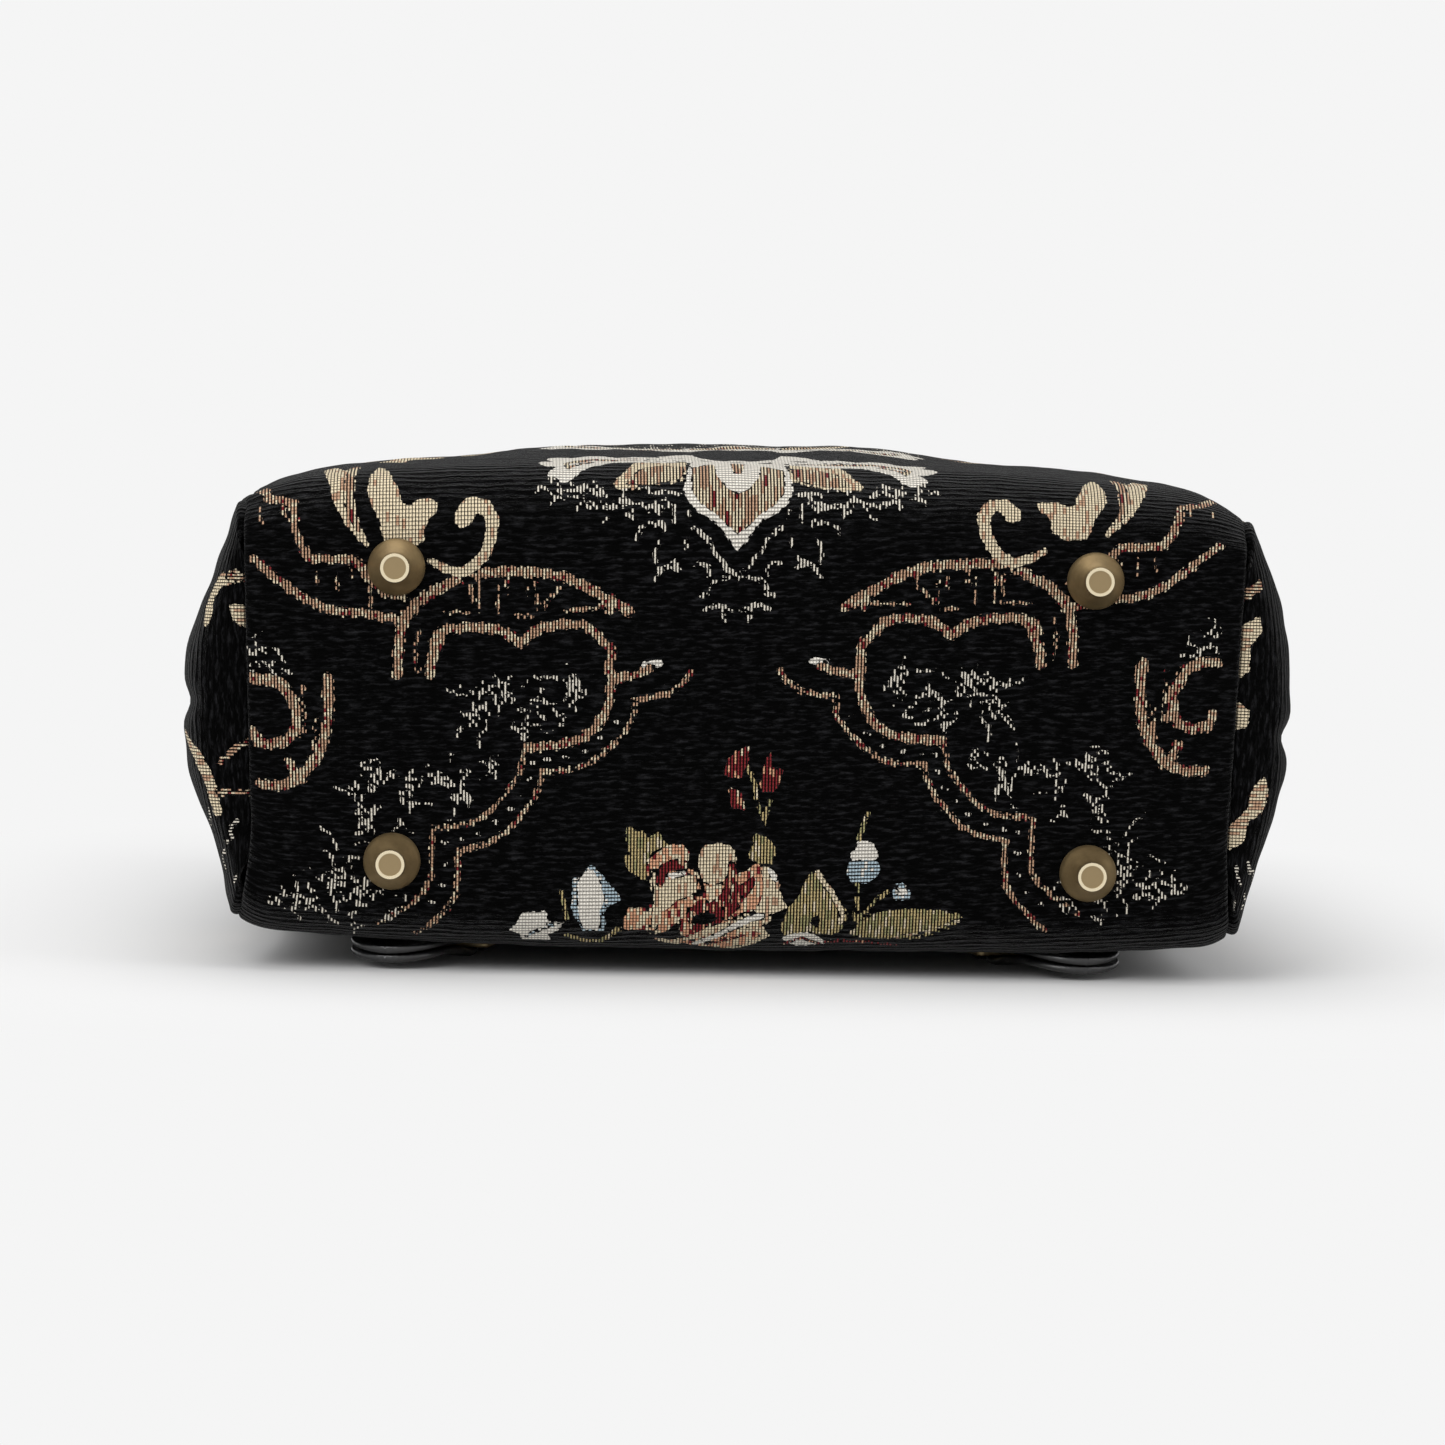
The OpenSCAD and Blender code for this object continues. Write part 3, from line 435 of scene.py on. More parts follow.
def colour(r, g, b):
    """A display colour, 0 to 255, as a linear one."""
    return tuple(c / 12.92 if c < 0.04045 else ((c + 0.055) / 1.055) ** 2.4 for c in (r / 255, g / 255, b / 255))


YARNS = ("band", "cream", "tan", "white", "blue", "olive", "peach", "red", "lace")
FIELDS = ("figures_a", "figures_b", "figures_c")
CREAM, TAN, PEACH = colour(243, 226, 193), colour(206, 166, 136), colour(232, 174, 138)
WHITE, LACE_WHITE, BLUE = colour(252, 246, 234), colour(230, 223, 208), colour(184, 204, 214)
RED, OLIVE, LEAF = colour(136, 46, 50), colour(204, 184, 132), colour(172, 166, 118)
GAP = colour(16, 12, 10)
YARN_W, ROW_L, RIB_W = 0.9, 1.0, 1.9


def tapestry():
    """Chenille ground in ribs across the cloth, with figures in flat columns of yarn along it. Fields on the cloth
    say how far each figure's edge is, and every crossing shifts that edge a little, so it steps from yarn to yarn."""
    look = Look("tapestry", Specular_IOR_Level=0.04, Sheen_Weight=0.12, Sheen_Roughness=0.22, Roughness=0.95)
    x, s, _ = [v * 1000 for v in look.split(look.node("UVMap", {"uv_map": "cloth"}))]
    column, row = (x / YARN_W).math("FLOOR"), s.math("FLOOR")
    chance = look.random(column, row)
    shift = (chance - 0.5) * 0.9 + (look.noise(look.vector(x, s), 0.5, 2.0) - 0.5) * 0.8
    shifts = {"band": shift, "lace": (chance - 0.4) * 0.75}
    fine = shift * 0.62
    fields = [look.split(look.node("Attribute", {"attribute_name": name}, out="Vector")) for name in FIELDS]
    inside = {yarn: (field + shifts.get(yarn, fine)) < 0 for yarn, field in zip(YARNS, sum(fields, []))}

    wander = look.noise(look.vector(x * 0.09, s * 0.4), 1.0, 3.0)
    rib = (s + wander * 2.6).hill(RIB_W)
    fuzz = look.noise(look.vector(x * 1.1, s * 2.2), 1.0, 4.0, 0.65)
    tuft = look.noise(look.vector(x * 0.22, s * 0.9), 1.0, 4.0, 0.65)
    pile = rib.math("POWER", 0.7) * (0.4 + 0.6 * fuzz)
    # Painted highlight: grey flecks where the tufts catch light, brightest on the ribs' tops, mixed into the ground's
    # black colour.
    painted_glint = tuft.above(0.58, 0.12) * (0.2 + 0.8 * rib) * (0.2 + 1.3 * fuzz)
    ground = look.mix(painted_glint.math("MINIMUM", 1.0), colour(1.5, 1.5, 1.5), colour(41, 41, 43))

    sway = (fuzz - 0.5) * 0.3
    warp, weft = (x + sway).hill(YARN_W), (s + sway).hill(ROW_L)
    open_warp, open_weft = warp.above(0.52, 0.12), weft.above(0.28, 0.16)
    full = warp.above(0.3, 0.12) * (0.25 + 0.75 * open_weft)
    ribbed = open_warp * (0.5 + 0.5 * open_weft)
    rows = weft.above(0.4, 0.16) * (1 - 0.6 * warp.below(0.34, 0.12))

    def dyed(length, *steps):
        """Yarns that change their dye at random after each length, column by column."""
        run = (s / length + look.random(column, 3.5) * 7.0).math("FLOOR")
        return look.node("ValToRGB", {"steps": steps}, {0: look.random(column, run)})

    yarns = {
        "band": (dyed(1.1, (0.0, TAN), (0.6, CREAM), (0.92, RED)), ribbed),
        "cream": (dyed(2.4, (0.0, CREAM), (0.86, TAN)), full),
        "tan": (dyed(5.0, (0.0, TAN), (0.3, CREAM), (0.82, TAN), (0.94, RED)), ribbed),
        "white": (WHITE, 0.3 + 0.7 * rows),
        "blue": (dyed(1.2, (0.0, BLUE), (0.5, WHITE), (0.72, BLUE)), rows),
        "olive": (dyed(3.0, (0.0, OLIVE), (0.4, LEAF), (0.7, CREAM), (0.8, OLIVE)), ribbed),
        "peach": (dyed(2.2, (0.0, PEACH), (0.45, CREAM), (0.78, PEACH), (0.86, RED)), full),
        "red": (dyed(2.0, (0.0, RED), (0.48, PEACH), (0.66, RED), (0.9, CREAM)), ribbed),
        "lace": (LACE_WHITE, open_warp),
    }
    tone, flat = ground, 0.0
    for yarn, (dye, thread_share) in yarns.items():
        tone = look.mix(inside[yarn], tone, look.mix(thread_share, GAP, dye))
        flat = inside[yarn].math("MAXIMUM", flat)
    shade = 0.8 + 0.4 * fuzz
    grey = look.vector(shade, shade, shade)
    tone = look.node("Mix", {"data_type": "RGBA", "blend_type": "MULTIPLY"}, {0: 1.0, 6: tone, 7: grey}, out=2)
    woven = warp * 0.5 + weft * 0.3 - 0.5
    height = (pile + tuft * 0.6 + fuzz * 0.35) * (1 - flat) + woven * flat
    look.set(Base_Color=tone)
    look.bump(height, 0.0008)
    return look.material


def leather():
    """Black coated leather: a fine pebbled grain, glossy, a little worn."""
    look = Look("black_leather", Base_Color=colour(17, 17, 18), Specular_IOR_Level=0.55, Coat_Roughness=0.2)
    place = look.place()
    grain = look.node("TexVoronoi", {"feature": "SMOOTH_F1"}, {"Vector": place, "Scale": 900.0, "Smoothness": 0.4})
    wear = look.noise(place, 60.0, 4.0)
    look.set(Roughness=0.24 + wear * 0.2, Coat_Weight=0.15 + wear * 0.2)
    look.bump(grain + wear * 0.6, 0.00012, 0.7)
    return look.material


def brass():
    """Antique brass: satin, with brown patina in patches and fine scuffs."""
    look = Look("antique_brass", Metallic=1.0)
    place = look.place()
    patina = look.noise(place, 140.0, 5.0, 0.6)
    scuff = look.noise(place, 900.0, 3.0)
    look.set(
        Base_Color=look.mix(patina, colour(150, 128, 92), colour(205, 184, 144)),
        Roughness=0.32 + patina * 0.16 + scuff * 0.06,
    )
    look.bump(scuff + patina, 0.00004, 0.6)
    return look.material


def foot_brass():
    """Turned antique brass: a brown cone, a polished rim round its end and a duller disc inside the rim."""
    look = Look("foot_brass", Metallic=0.92)
    place = look.place()
    x, y, z = [v * 1000 for v in look.split(place)]
    across = x.math("ABSOLUTE") - FOOT_X
    up = (z - FLOOR_Y + (FOOT_BACK - FOOT_FRONT) / 2).math("ABSOLUTE") - (FOOT_BACK + FOOT_FRONT) / 2
    radius = (across * across + up * up).math("SQRT")
    at_end = (y + TOTAL_H / 2).below(0.9, 0.15)
    disc = radius.below(TIP_D / 2 - 0.85, 0.12) * at_end
    rim = radius.below(TIP_D / 2 + 0.3, 0.15) * at_end * (1 - disc)
    patina = look.noise(place, 180.0, 5.0, 0.65)
    lathe = look.noise(look.vector(radius, y), 4.0, 3.0)
    cone = look.mix(patina, colour(112, 92, 62), colour(168, 146, 106))
    tone = look.mix(rim, look.mix(disc, cone, colour(150, 131, 98)), colour(232, 218, 186))
    look.set(Base_Color=tone, Roughness=0.46 - rim * 0.24 - disc * 0.08 + patina * 0.08)
    look.bump(lathe + patina * 0.4, 0.00005, 0.5)
    return look.material


def zip_weave():
    """Woven tape in a black herringbone, with teeth of dull moulded nylon above it."""
    look = Look("zip_weave", Specular_IOR_Level=0.3)
    x, y, z = [v * 1000 for v in look.split(look.place())]
    bone = (x + z.hill(5.0) * 2.5).hill(0.9)
    cloth = (y + TOTAL_H / 2).below(TAPE_Z + TAPE_T + 0.1, 0.05)
    tape = look.mix(bone, colour(9, 9, 10), colour(40, 40, 42))
    look.set(Base_Color=look.mix(cloth, colour(30, 30, 32), tape), Roughness=0.34 + cloth * 0.5)
    look.bump(bone * cloth, 0.0002)
    return look.material


def lining_weave():
    """Brown plain-woven lining."""
    look = Look("lining_weave", Roughness=0.8, Specular_IOR_Level=0.25, Sheen_Weight=0.1)
    x, y, z = [v * 1000 for v in look.split(look.place())]
    warp, weft = (x + z).hill(0.5), y.hill(0.5)
    shade = look.noise(look.place(), 30.0, 3.0)
    look.set(Base_Color=look.mix(warp * weft * 0.6 + shade * 0.4, colour(66, 52, 44), colour(112, 92, 78)))
    look.bump(warp * weft, 0.0002)
    return look.material


def fibre_board():
    """Pressed grey-brown fibre board."""
    look = Look("fibre_board", Roughness=0.9)
    flecks = look.noise(look.place(), 500.0, 5.0, 0.7)
    look.set(Base_Color=look.mix(flecks, colour(120, 104, 82), colour(170, 152, 126)))
    look.bump(flecks, 0.0002)
    return look.material


def thread():
    """Waxed sewing thread."""
    look = Look("black_thread", Roughness=0.6)
    twist = look.noise(look.place(), 2500.0, 2.0)
    look.set(Base_Color=look.mix(twist, colour(20, 20, 21), colour(58, 57, 56)))
    return look.material


LOOKS = {
    make.__name__: make()
    for make in (tapestry, leather, brass, foot_brass, zip_weave, lining_weave, fibre_board, thread)
}


# The woven figures

# Each entry is a yarn, half a pen's width and one or more lists of points in millimetres of cloth: across from the
# figure's axis and along from the base's middle towards the front. A width of 0 fills an area, and a third number in
# a point is its own width. Later entries cover earlier ones, and dark bares the ground. SCROLL and LACE are one half,
# which the other mirrors. LACE gives a number of twigs and the area that they lie in.
SCROLL = [
    ("band", 1.45, [(-76.5, 41.4), (-80.6, 38.8), (-84.6, 36.8), (-88.6, 34.2), (-91, 30.8), (-92.7, 28.8)]),
    ("band", 1.4, [(-92, 30.9), (-93.3, 26.1), (-94.2, 20), (-94.4, 13.9)],
        [(-82, 25.9), (-83.4, 21.2), (-85.1, 17.2), (-85.4, 13.8)]),
    ("band", 0.45, [(-88.5, 26.4), (-89.5, 20.8), (-88.9, 14.7)]),
    ("band", 1.4, [(-74.1, 42), (-66.2, 42.3), (-59.3, 42.2), (-53.8, 41.8), (-48.3, 40.6), (-42.7, 38.2),
        (-38.1, 35.3), (-33.4, 32.9), (-29.9, 30.5)]),
    ("band", 1.2, [(-36.2, 33.9), (-35.3, 30.6)]),
    ("band", 1.3, [(-84.5, 22.6), (-83.4, 24.9), (-80.6, 26.4), (-76, 26.8), (-71.4, 26.8), (-67.2, 26.3),
        (-63.5, 24.8), (-60.2, 22.2), (-57, 24.7), (-53.8, 26.7), (-49.6, 27.2), (-43.6, 27.3), (-41.3, 26.5),
        (-38.5, 23.6), (-35.6, 20.8), (-34.7, 18.9), (-35.3, 15.2), (-34.6, 11.4), (-35.1, 6.8), (-36.4, 2.1),
        (-39.2, -2.1), (-42.9, -4.8), (-49, -6.6), (-58.8, -7.3)]),
    ("band", 0.7, [(-58.8, -7.3), (-59.7, -11.5), (-61.1, -16.2), (-64.9, -20.8), (-68.7, -25.4), (-74.3, -28.6),
        (-79.1, -29.5), (-85.2, -29.8), (-85, -37.3), (-85.3, -43.9), (-87.7, -48.6), (-91.5, -52.3),
        (-95.4, -55.3), (-99.2, -58.2)]),
    ("band", 0.75, [(-12.3, 13.4), (-14.1, 10.6), (-18.3, 7.4), (-23.8, 6.1), (-28.5, 5.7), (-28.3, 1),
        (-31.2, -3.6), (-35.9, -8.2), (-40.5, -11.9), (-46.1, -13.7), (-54.1, -14), (-54.6, -18.2), (-57.4, -23.3),
        (-61.1, -27.9), (-64.9, -31.6), (-69.6, -34.3), (-78.1, -36.5), (-77.7, -42.2), (-78.2, -48.7),
        (-81.1, -53.5), (-84.9, -57.8), (-89.7, -62.9)]),
    ("white", 0.9, [(-25.4, 15.5), (-21.2, 15.9)]),
    ("band", 1.2, [(-24, 14.5), (-27.7, 12.7), (-34.2, 11.9)], [(-132.7, 73.3), (-129.1, 64.7), (-122.7, 61.9),
        (-122.2, 55), (-120.4, 50.6), (-118.2, 46.9), (-113.6, 46.5), (-106.7, 46.4), (-104.4, 44.8),
        (-101.7, 40.6), (-98.1, 37), (-92.6, 35.8)]),
    ("band", 1.15, [(-133.8, 47.2), (-129.3, 42.9), (-124.7, 39.1), (-120.2, 35.8), (-115.6, 33.4), (-111.1, 31.9),
        (-103.7, 31.3), (-98.2, 30.1), (-93.5, 29.6)]),
    ("band", 1.5, [(-113.9, 13.3), (-113.8, 6.3), (-114.2, 0.7), (-115.4, -4.9), (-118.3, -10.4), (-122.1, -15.1),
        (-127.8, -17.6), (-133.4, -17.5)], [(-135, 13.4), (-129.9, 13.1), (-126.7, 11.9), (-124.6, 8.4),
        (-122.7, 3.7), (-123.2, -1), (-125.6, -4.2), (-129.4, -5.1), (-133.6, -4.6), (-134.9, -1.3)]),
    ("band", 1.3, [(-125.3, -9.9), (-123.5, -13.6), (-121.6, -15.5)]),
    ("band", 0.45, [(-120.9, 11.1), (-120.6, 3.6), (-121.1, -2.9)], [(-117.6, 1.7), (-118, -4.8), (-119.2, -9)]),
    ("band", 0.4, [(-73.6, 39.2), (-73.8, 33.6)], [(-71.5, 39.6), (-71.7, 31.7)], [(-66.3, 38.1), (-66.4, 31.1)],
        [(-63.8, 39.9), (-63.9, 36)], [(-58.4, 39.4), (-58.2, 35.2)], [(-55.6, 38.9), (-55.6, 31.4)],
        [(-49.7, 40.6), (-49.5, 36.7), (-52.9, 34.2), (-53.3, 31.4)], [(-81.5, 31.1), (-74.1, 31.3)]),
    ("band", 0.5, [(-61.2, 30), (-57, 29.6)], [(-48.2, 31.2), (-38.1, 31.7)]),
    ("band", 0.4, [(-75.9, 38.3), (-73.6, 38.4)], [(-116.4, 42.9), (-116.3, 39.4)],
        [(-110.9, 43.1), (-110.8, 37.9)], [(-106.7, 43.5), (-106.6, 41.6)]),
    ("band", 0.5, [(-101.7, 37.8), (-101.4, 31.7)]),
    ("band", 0.4, [(-131.8, 62.2), (-131.3, 56.6)], [(-126.3, 61.7), (-124.9, 58.8)]),
    ("cream", 0, [(-115.1, 85.1), (-111.9, 88.6), (-109.1, 76.2), (-107.3, 81.9), (-104.1, 86.2), (-105.5, 70.1),
        (-105.8, 63), (-105.4, 58.5), (-103.9, 54.3), (-101.6, 50.3), (-102.5, 49.4), (-105.7, 52.6), (-109.4, 57),
        (-111.7, 62), (-113.7, 69.4)]),
    ("tan", 0, [(-109, 63.3), (-107.3, 80.9), (-104.5, 85.1), (-106.1, 64.1), (-105.6, 58.5), (-103.9, 53.4),
        (-105.2, 53.9), (-108, 58.2)]),
    ("cream", 0, [(-99.2, 77.3), (-101.3, 70.9), (-102.4, 65.5), (-102.1, 61.9), (-100.5, 58.7), (-99, 56.2),
        (-98.3, 53.3), (-97, 48.9), (-90.6, 48.8), (-86.4, 51.3), (-86.7, 53.8), (-85.5, 56.2), (-83.7, 57.8),
        (-82.6, 60.4), (-85.1, 61.5), (-88.3, 61.4), (-90.8, 60.1), (-93.4, 60.6), (-93.6, 63.4), (-94.9, 66.8),
        (-96.7, 71.9)]),
    ("cream", 1, [(-75.9, 56.7, 2.7), (-73.9, 59.7, 2), (-70.2, 59.3, 2), (-67.8, 55.9, 1.8), (-68.2, 51.8, 1.6),
        (-69.8, 47.4, 1.6), (-72.8, 44.1, 1.6), (-76.5, 42.1, 1.5), (-81.2, 43.5, 1.2), (-85.2, 45.6, 0.8)]),
    ("white", 0, [(-24.5, 89.4), (-17.5, 94), (-12.7, 95.4), (-10.6, 89.4), (-3.7, 85), (0.8, 86.3), (0.8, 82.9),
        (-5.1, 81.5), (-13.4, 86.3), (-18.9, 88.4)], [(-10, 78), (-18, 75.7), (-27.2, 75.7), (-34.8, 76.2),
        (-40, 73.6), (-43.4, 70.6), (-46, 67), (-49.4, 65.6), (-52.4, 67), (-52.6, 70), (-50.2, 72.6), (-53.4, 73),
        (-55.6, 75.6), (-54.4, 78.8), (-50.8, 79.6), (-53, 82), (-52.6, 85.4), (-49.6, 87.2), (-45.4, 86),
        (-42, 88.6), (-37.4, 89), (-33.6, 87), (-28, 88.4), (-22, 87), (-16, 86.4), (-10, 85)]),
    ("tan", 0, [(-13, 83), (-22, 84.2), (-31, 84.6), (-39, 83.6), (-45.6, 80.6), (-48.6, 75.6), (-47.4, 70.6),
        (-44.2, 74.4), (-39.4, 77.6), (-33, 79.2), (-24, 79.4), (-13, 80)]),
    ("white", 0.7, [(-46.4, 75), (-40, 79.6), (-32, 81.6), (-22, 81.8), (-14, 81.6)]),
    ("cream", 0, [(-35.2, 64.9), (-32.1, 68.9), (-28.6, 75.7), (-21.7, 75.8), (-14.4, 78), (-14.1, 66.9),
        (-18.9, 65.4), (-24.5, 64), (-30, 63.2), (-33.5, 63.6)]),
    ("tan", 0, [(-31.4, 65.3), (-27.2, 71.1), (-21.7, 73.3), (-14.8, 73.4), (-15.8, 67.4), (-21, 65.8),
        (-25.9, 64.6)]),
    ("white", 0, [(-14.8, 65.9), (-15.2, 62.8), (-13.4, 59), (-10.7, 56.6), (-6.5, 54.3), (-3.7, 51.1),
        (-1.2, 48.2), (0.9, 46.6), (1.6, 47.2), (1.5, 79.2), (-5.1, 81.5), (-10.6, 81.3), (-13.4, 74.8)]),
    ("tan", 0, [(-13, 72.3), (-12.9, 62.8), (-10.7, 59.2), (-6.5, 56.3), (-3, 53.3), (0.8, 50.4), (1.5, 51),
        (1.4, 61.5), (-3, 63.8), (-5.8, 68.8), (-6.6, 75.9)]),
    ("white", 0, [(-5.6, 77), (-4.4, 66.7), (-1.7, 63.9), (0.7, 61.9), (1.4, 62.1), (1.5, 81.8), (-5.1, 81.5)]),
    ("tan", 0, [(-2, 77.1), (-1.3, 70.2), (1.5, 68.9), (1.5, 78.2)]),
    ("lace", 0.62, [(-44.8, 58), (-44.2, 59.6), (-41.7, 60.3), (-39.3, 59.2), (-39, 57.9)],
        [(-34.2, 59.9), (-31.7, 60.6), (-30, 59.2)], [(-55.5, 62.9), (-54.9, 64.1), (-53.1, 64.1)],
        [(-29.3, 55.2), (-29.3, 58.5), (-27.3, 59.1), (-24.5, 57.7), (-22.4, 59.1)],
        [(-28.2, 50.2), (-27.2, 52.7), (-24.5, 53.9), (-21, 54.1), (-20.6, 52.6)],
        [(-22.9, 43.5), (-23, 47.6), (-22, 49.5)], [(-17.9, 58.4), (-17.6, 54.4)], [(-13.8, 57), (-13.4, 55.7)],
        [(-23.2, 38.9), (-21.5, 42), (-18.8, 43.4), (-16.4, 44.7), (-18.1, 43), (-16.3, 41.9)],
        [(-11.9, 43.3), (-9.8, 43.9), (-8, 42.5), (-8, 40.4)], [(-12.4, 52.8), (-10.6, 51.8), (-7.8, 49.3),
        (-6.4, 46.7), (-4.3, 44.5), (-3.2, 42.1), (-1.4, 41.3), (0.7, 38.9), (1.4, 36)],
        [(-10.3, 34.5), (-8.3, 34.8), (-7.6, 37.6), (-5.6, 39.3), (-2.8, 39.6)],
        [(-23.1, 62.4), (-19.7, 62.6), (-16.2, 61.9)], [(-40, 62.8), (-36.9, 61.7)],
        [(-8.9, 30.6), (-6.1, 32), (-3.3, 31.2), (-1.2, 30.5)], [(-4, 29.8), (-3.3, 27.7)],
        [(-14.4, 48.1), (-14.2, 50.6)]),
]
DOTS = [
    (-33, -0.5), (-37.5, -5), (-42, -8.5), (-47.5, -10.2), (-52.5, -10.6), (-56.6, -11.4), (-57.6, -16),
    (-60, -20.8), (-63, -24.6), (-67, -28.2), (-71.6, -31.4), (-77, -33), (-81.6, -34), (-81.4, -40),
    (-82, -46.2), (-85, -51), (-88.6, -55),
]
SCROLL += [("lace", 0.55, [(x - 0.5, s), (x + 0.5, s)]) for x, s in DOTS]
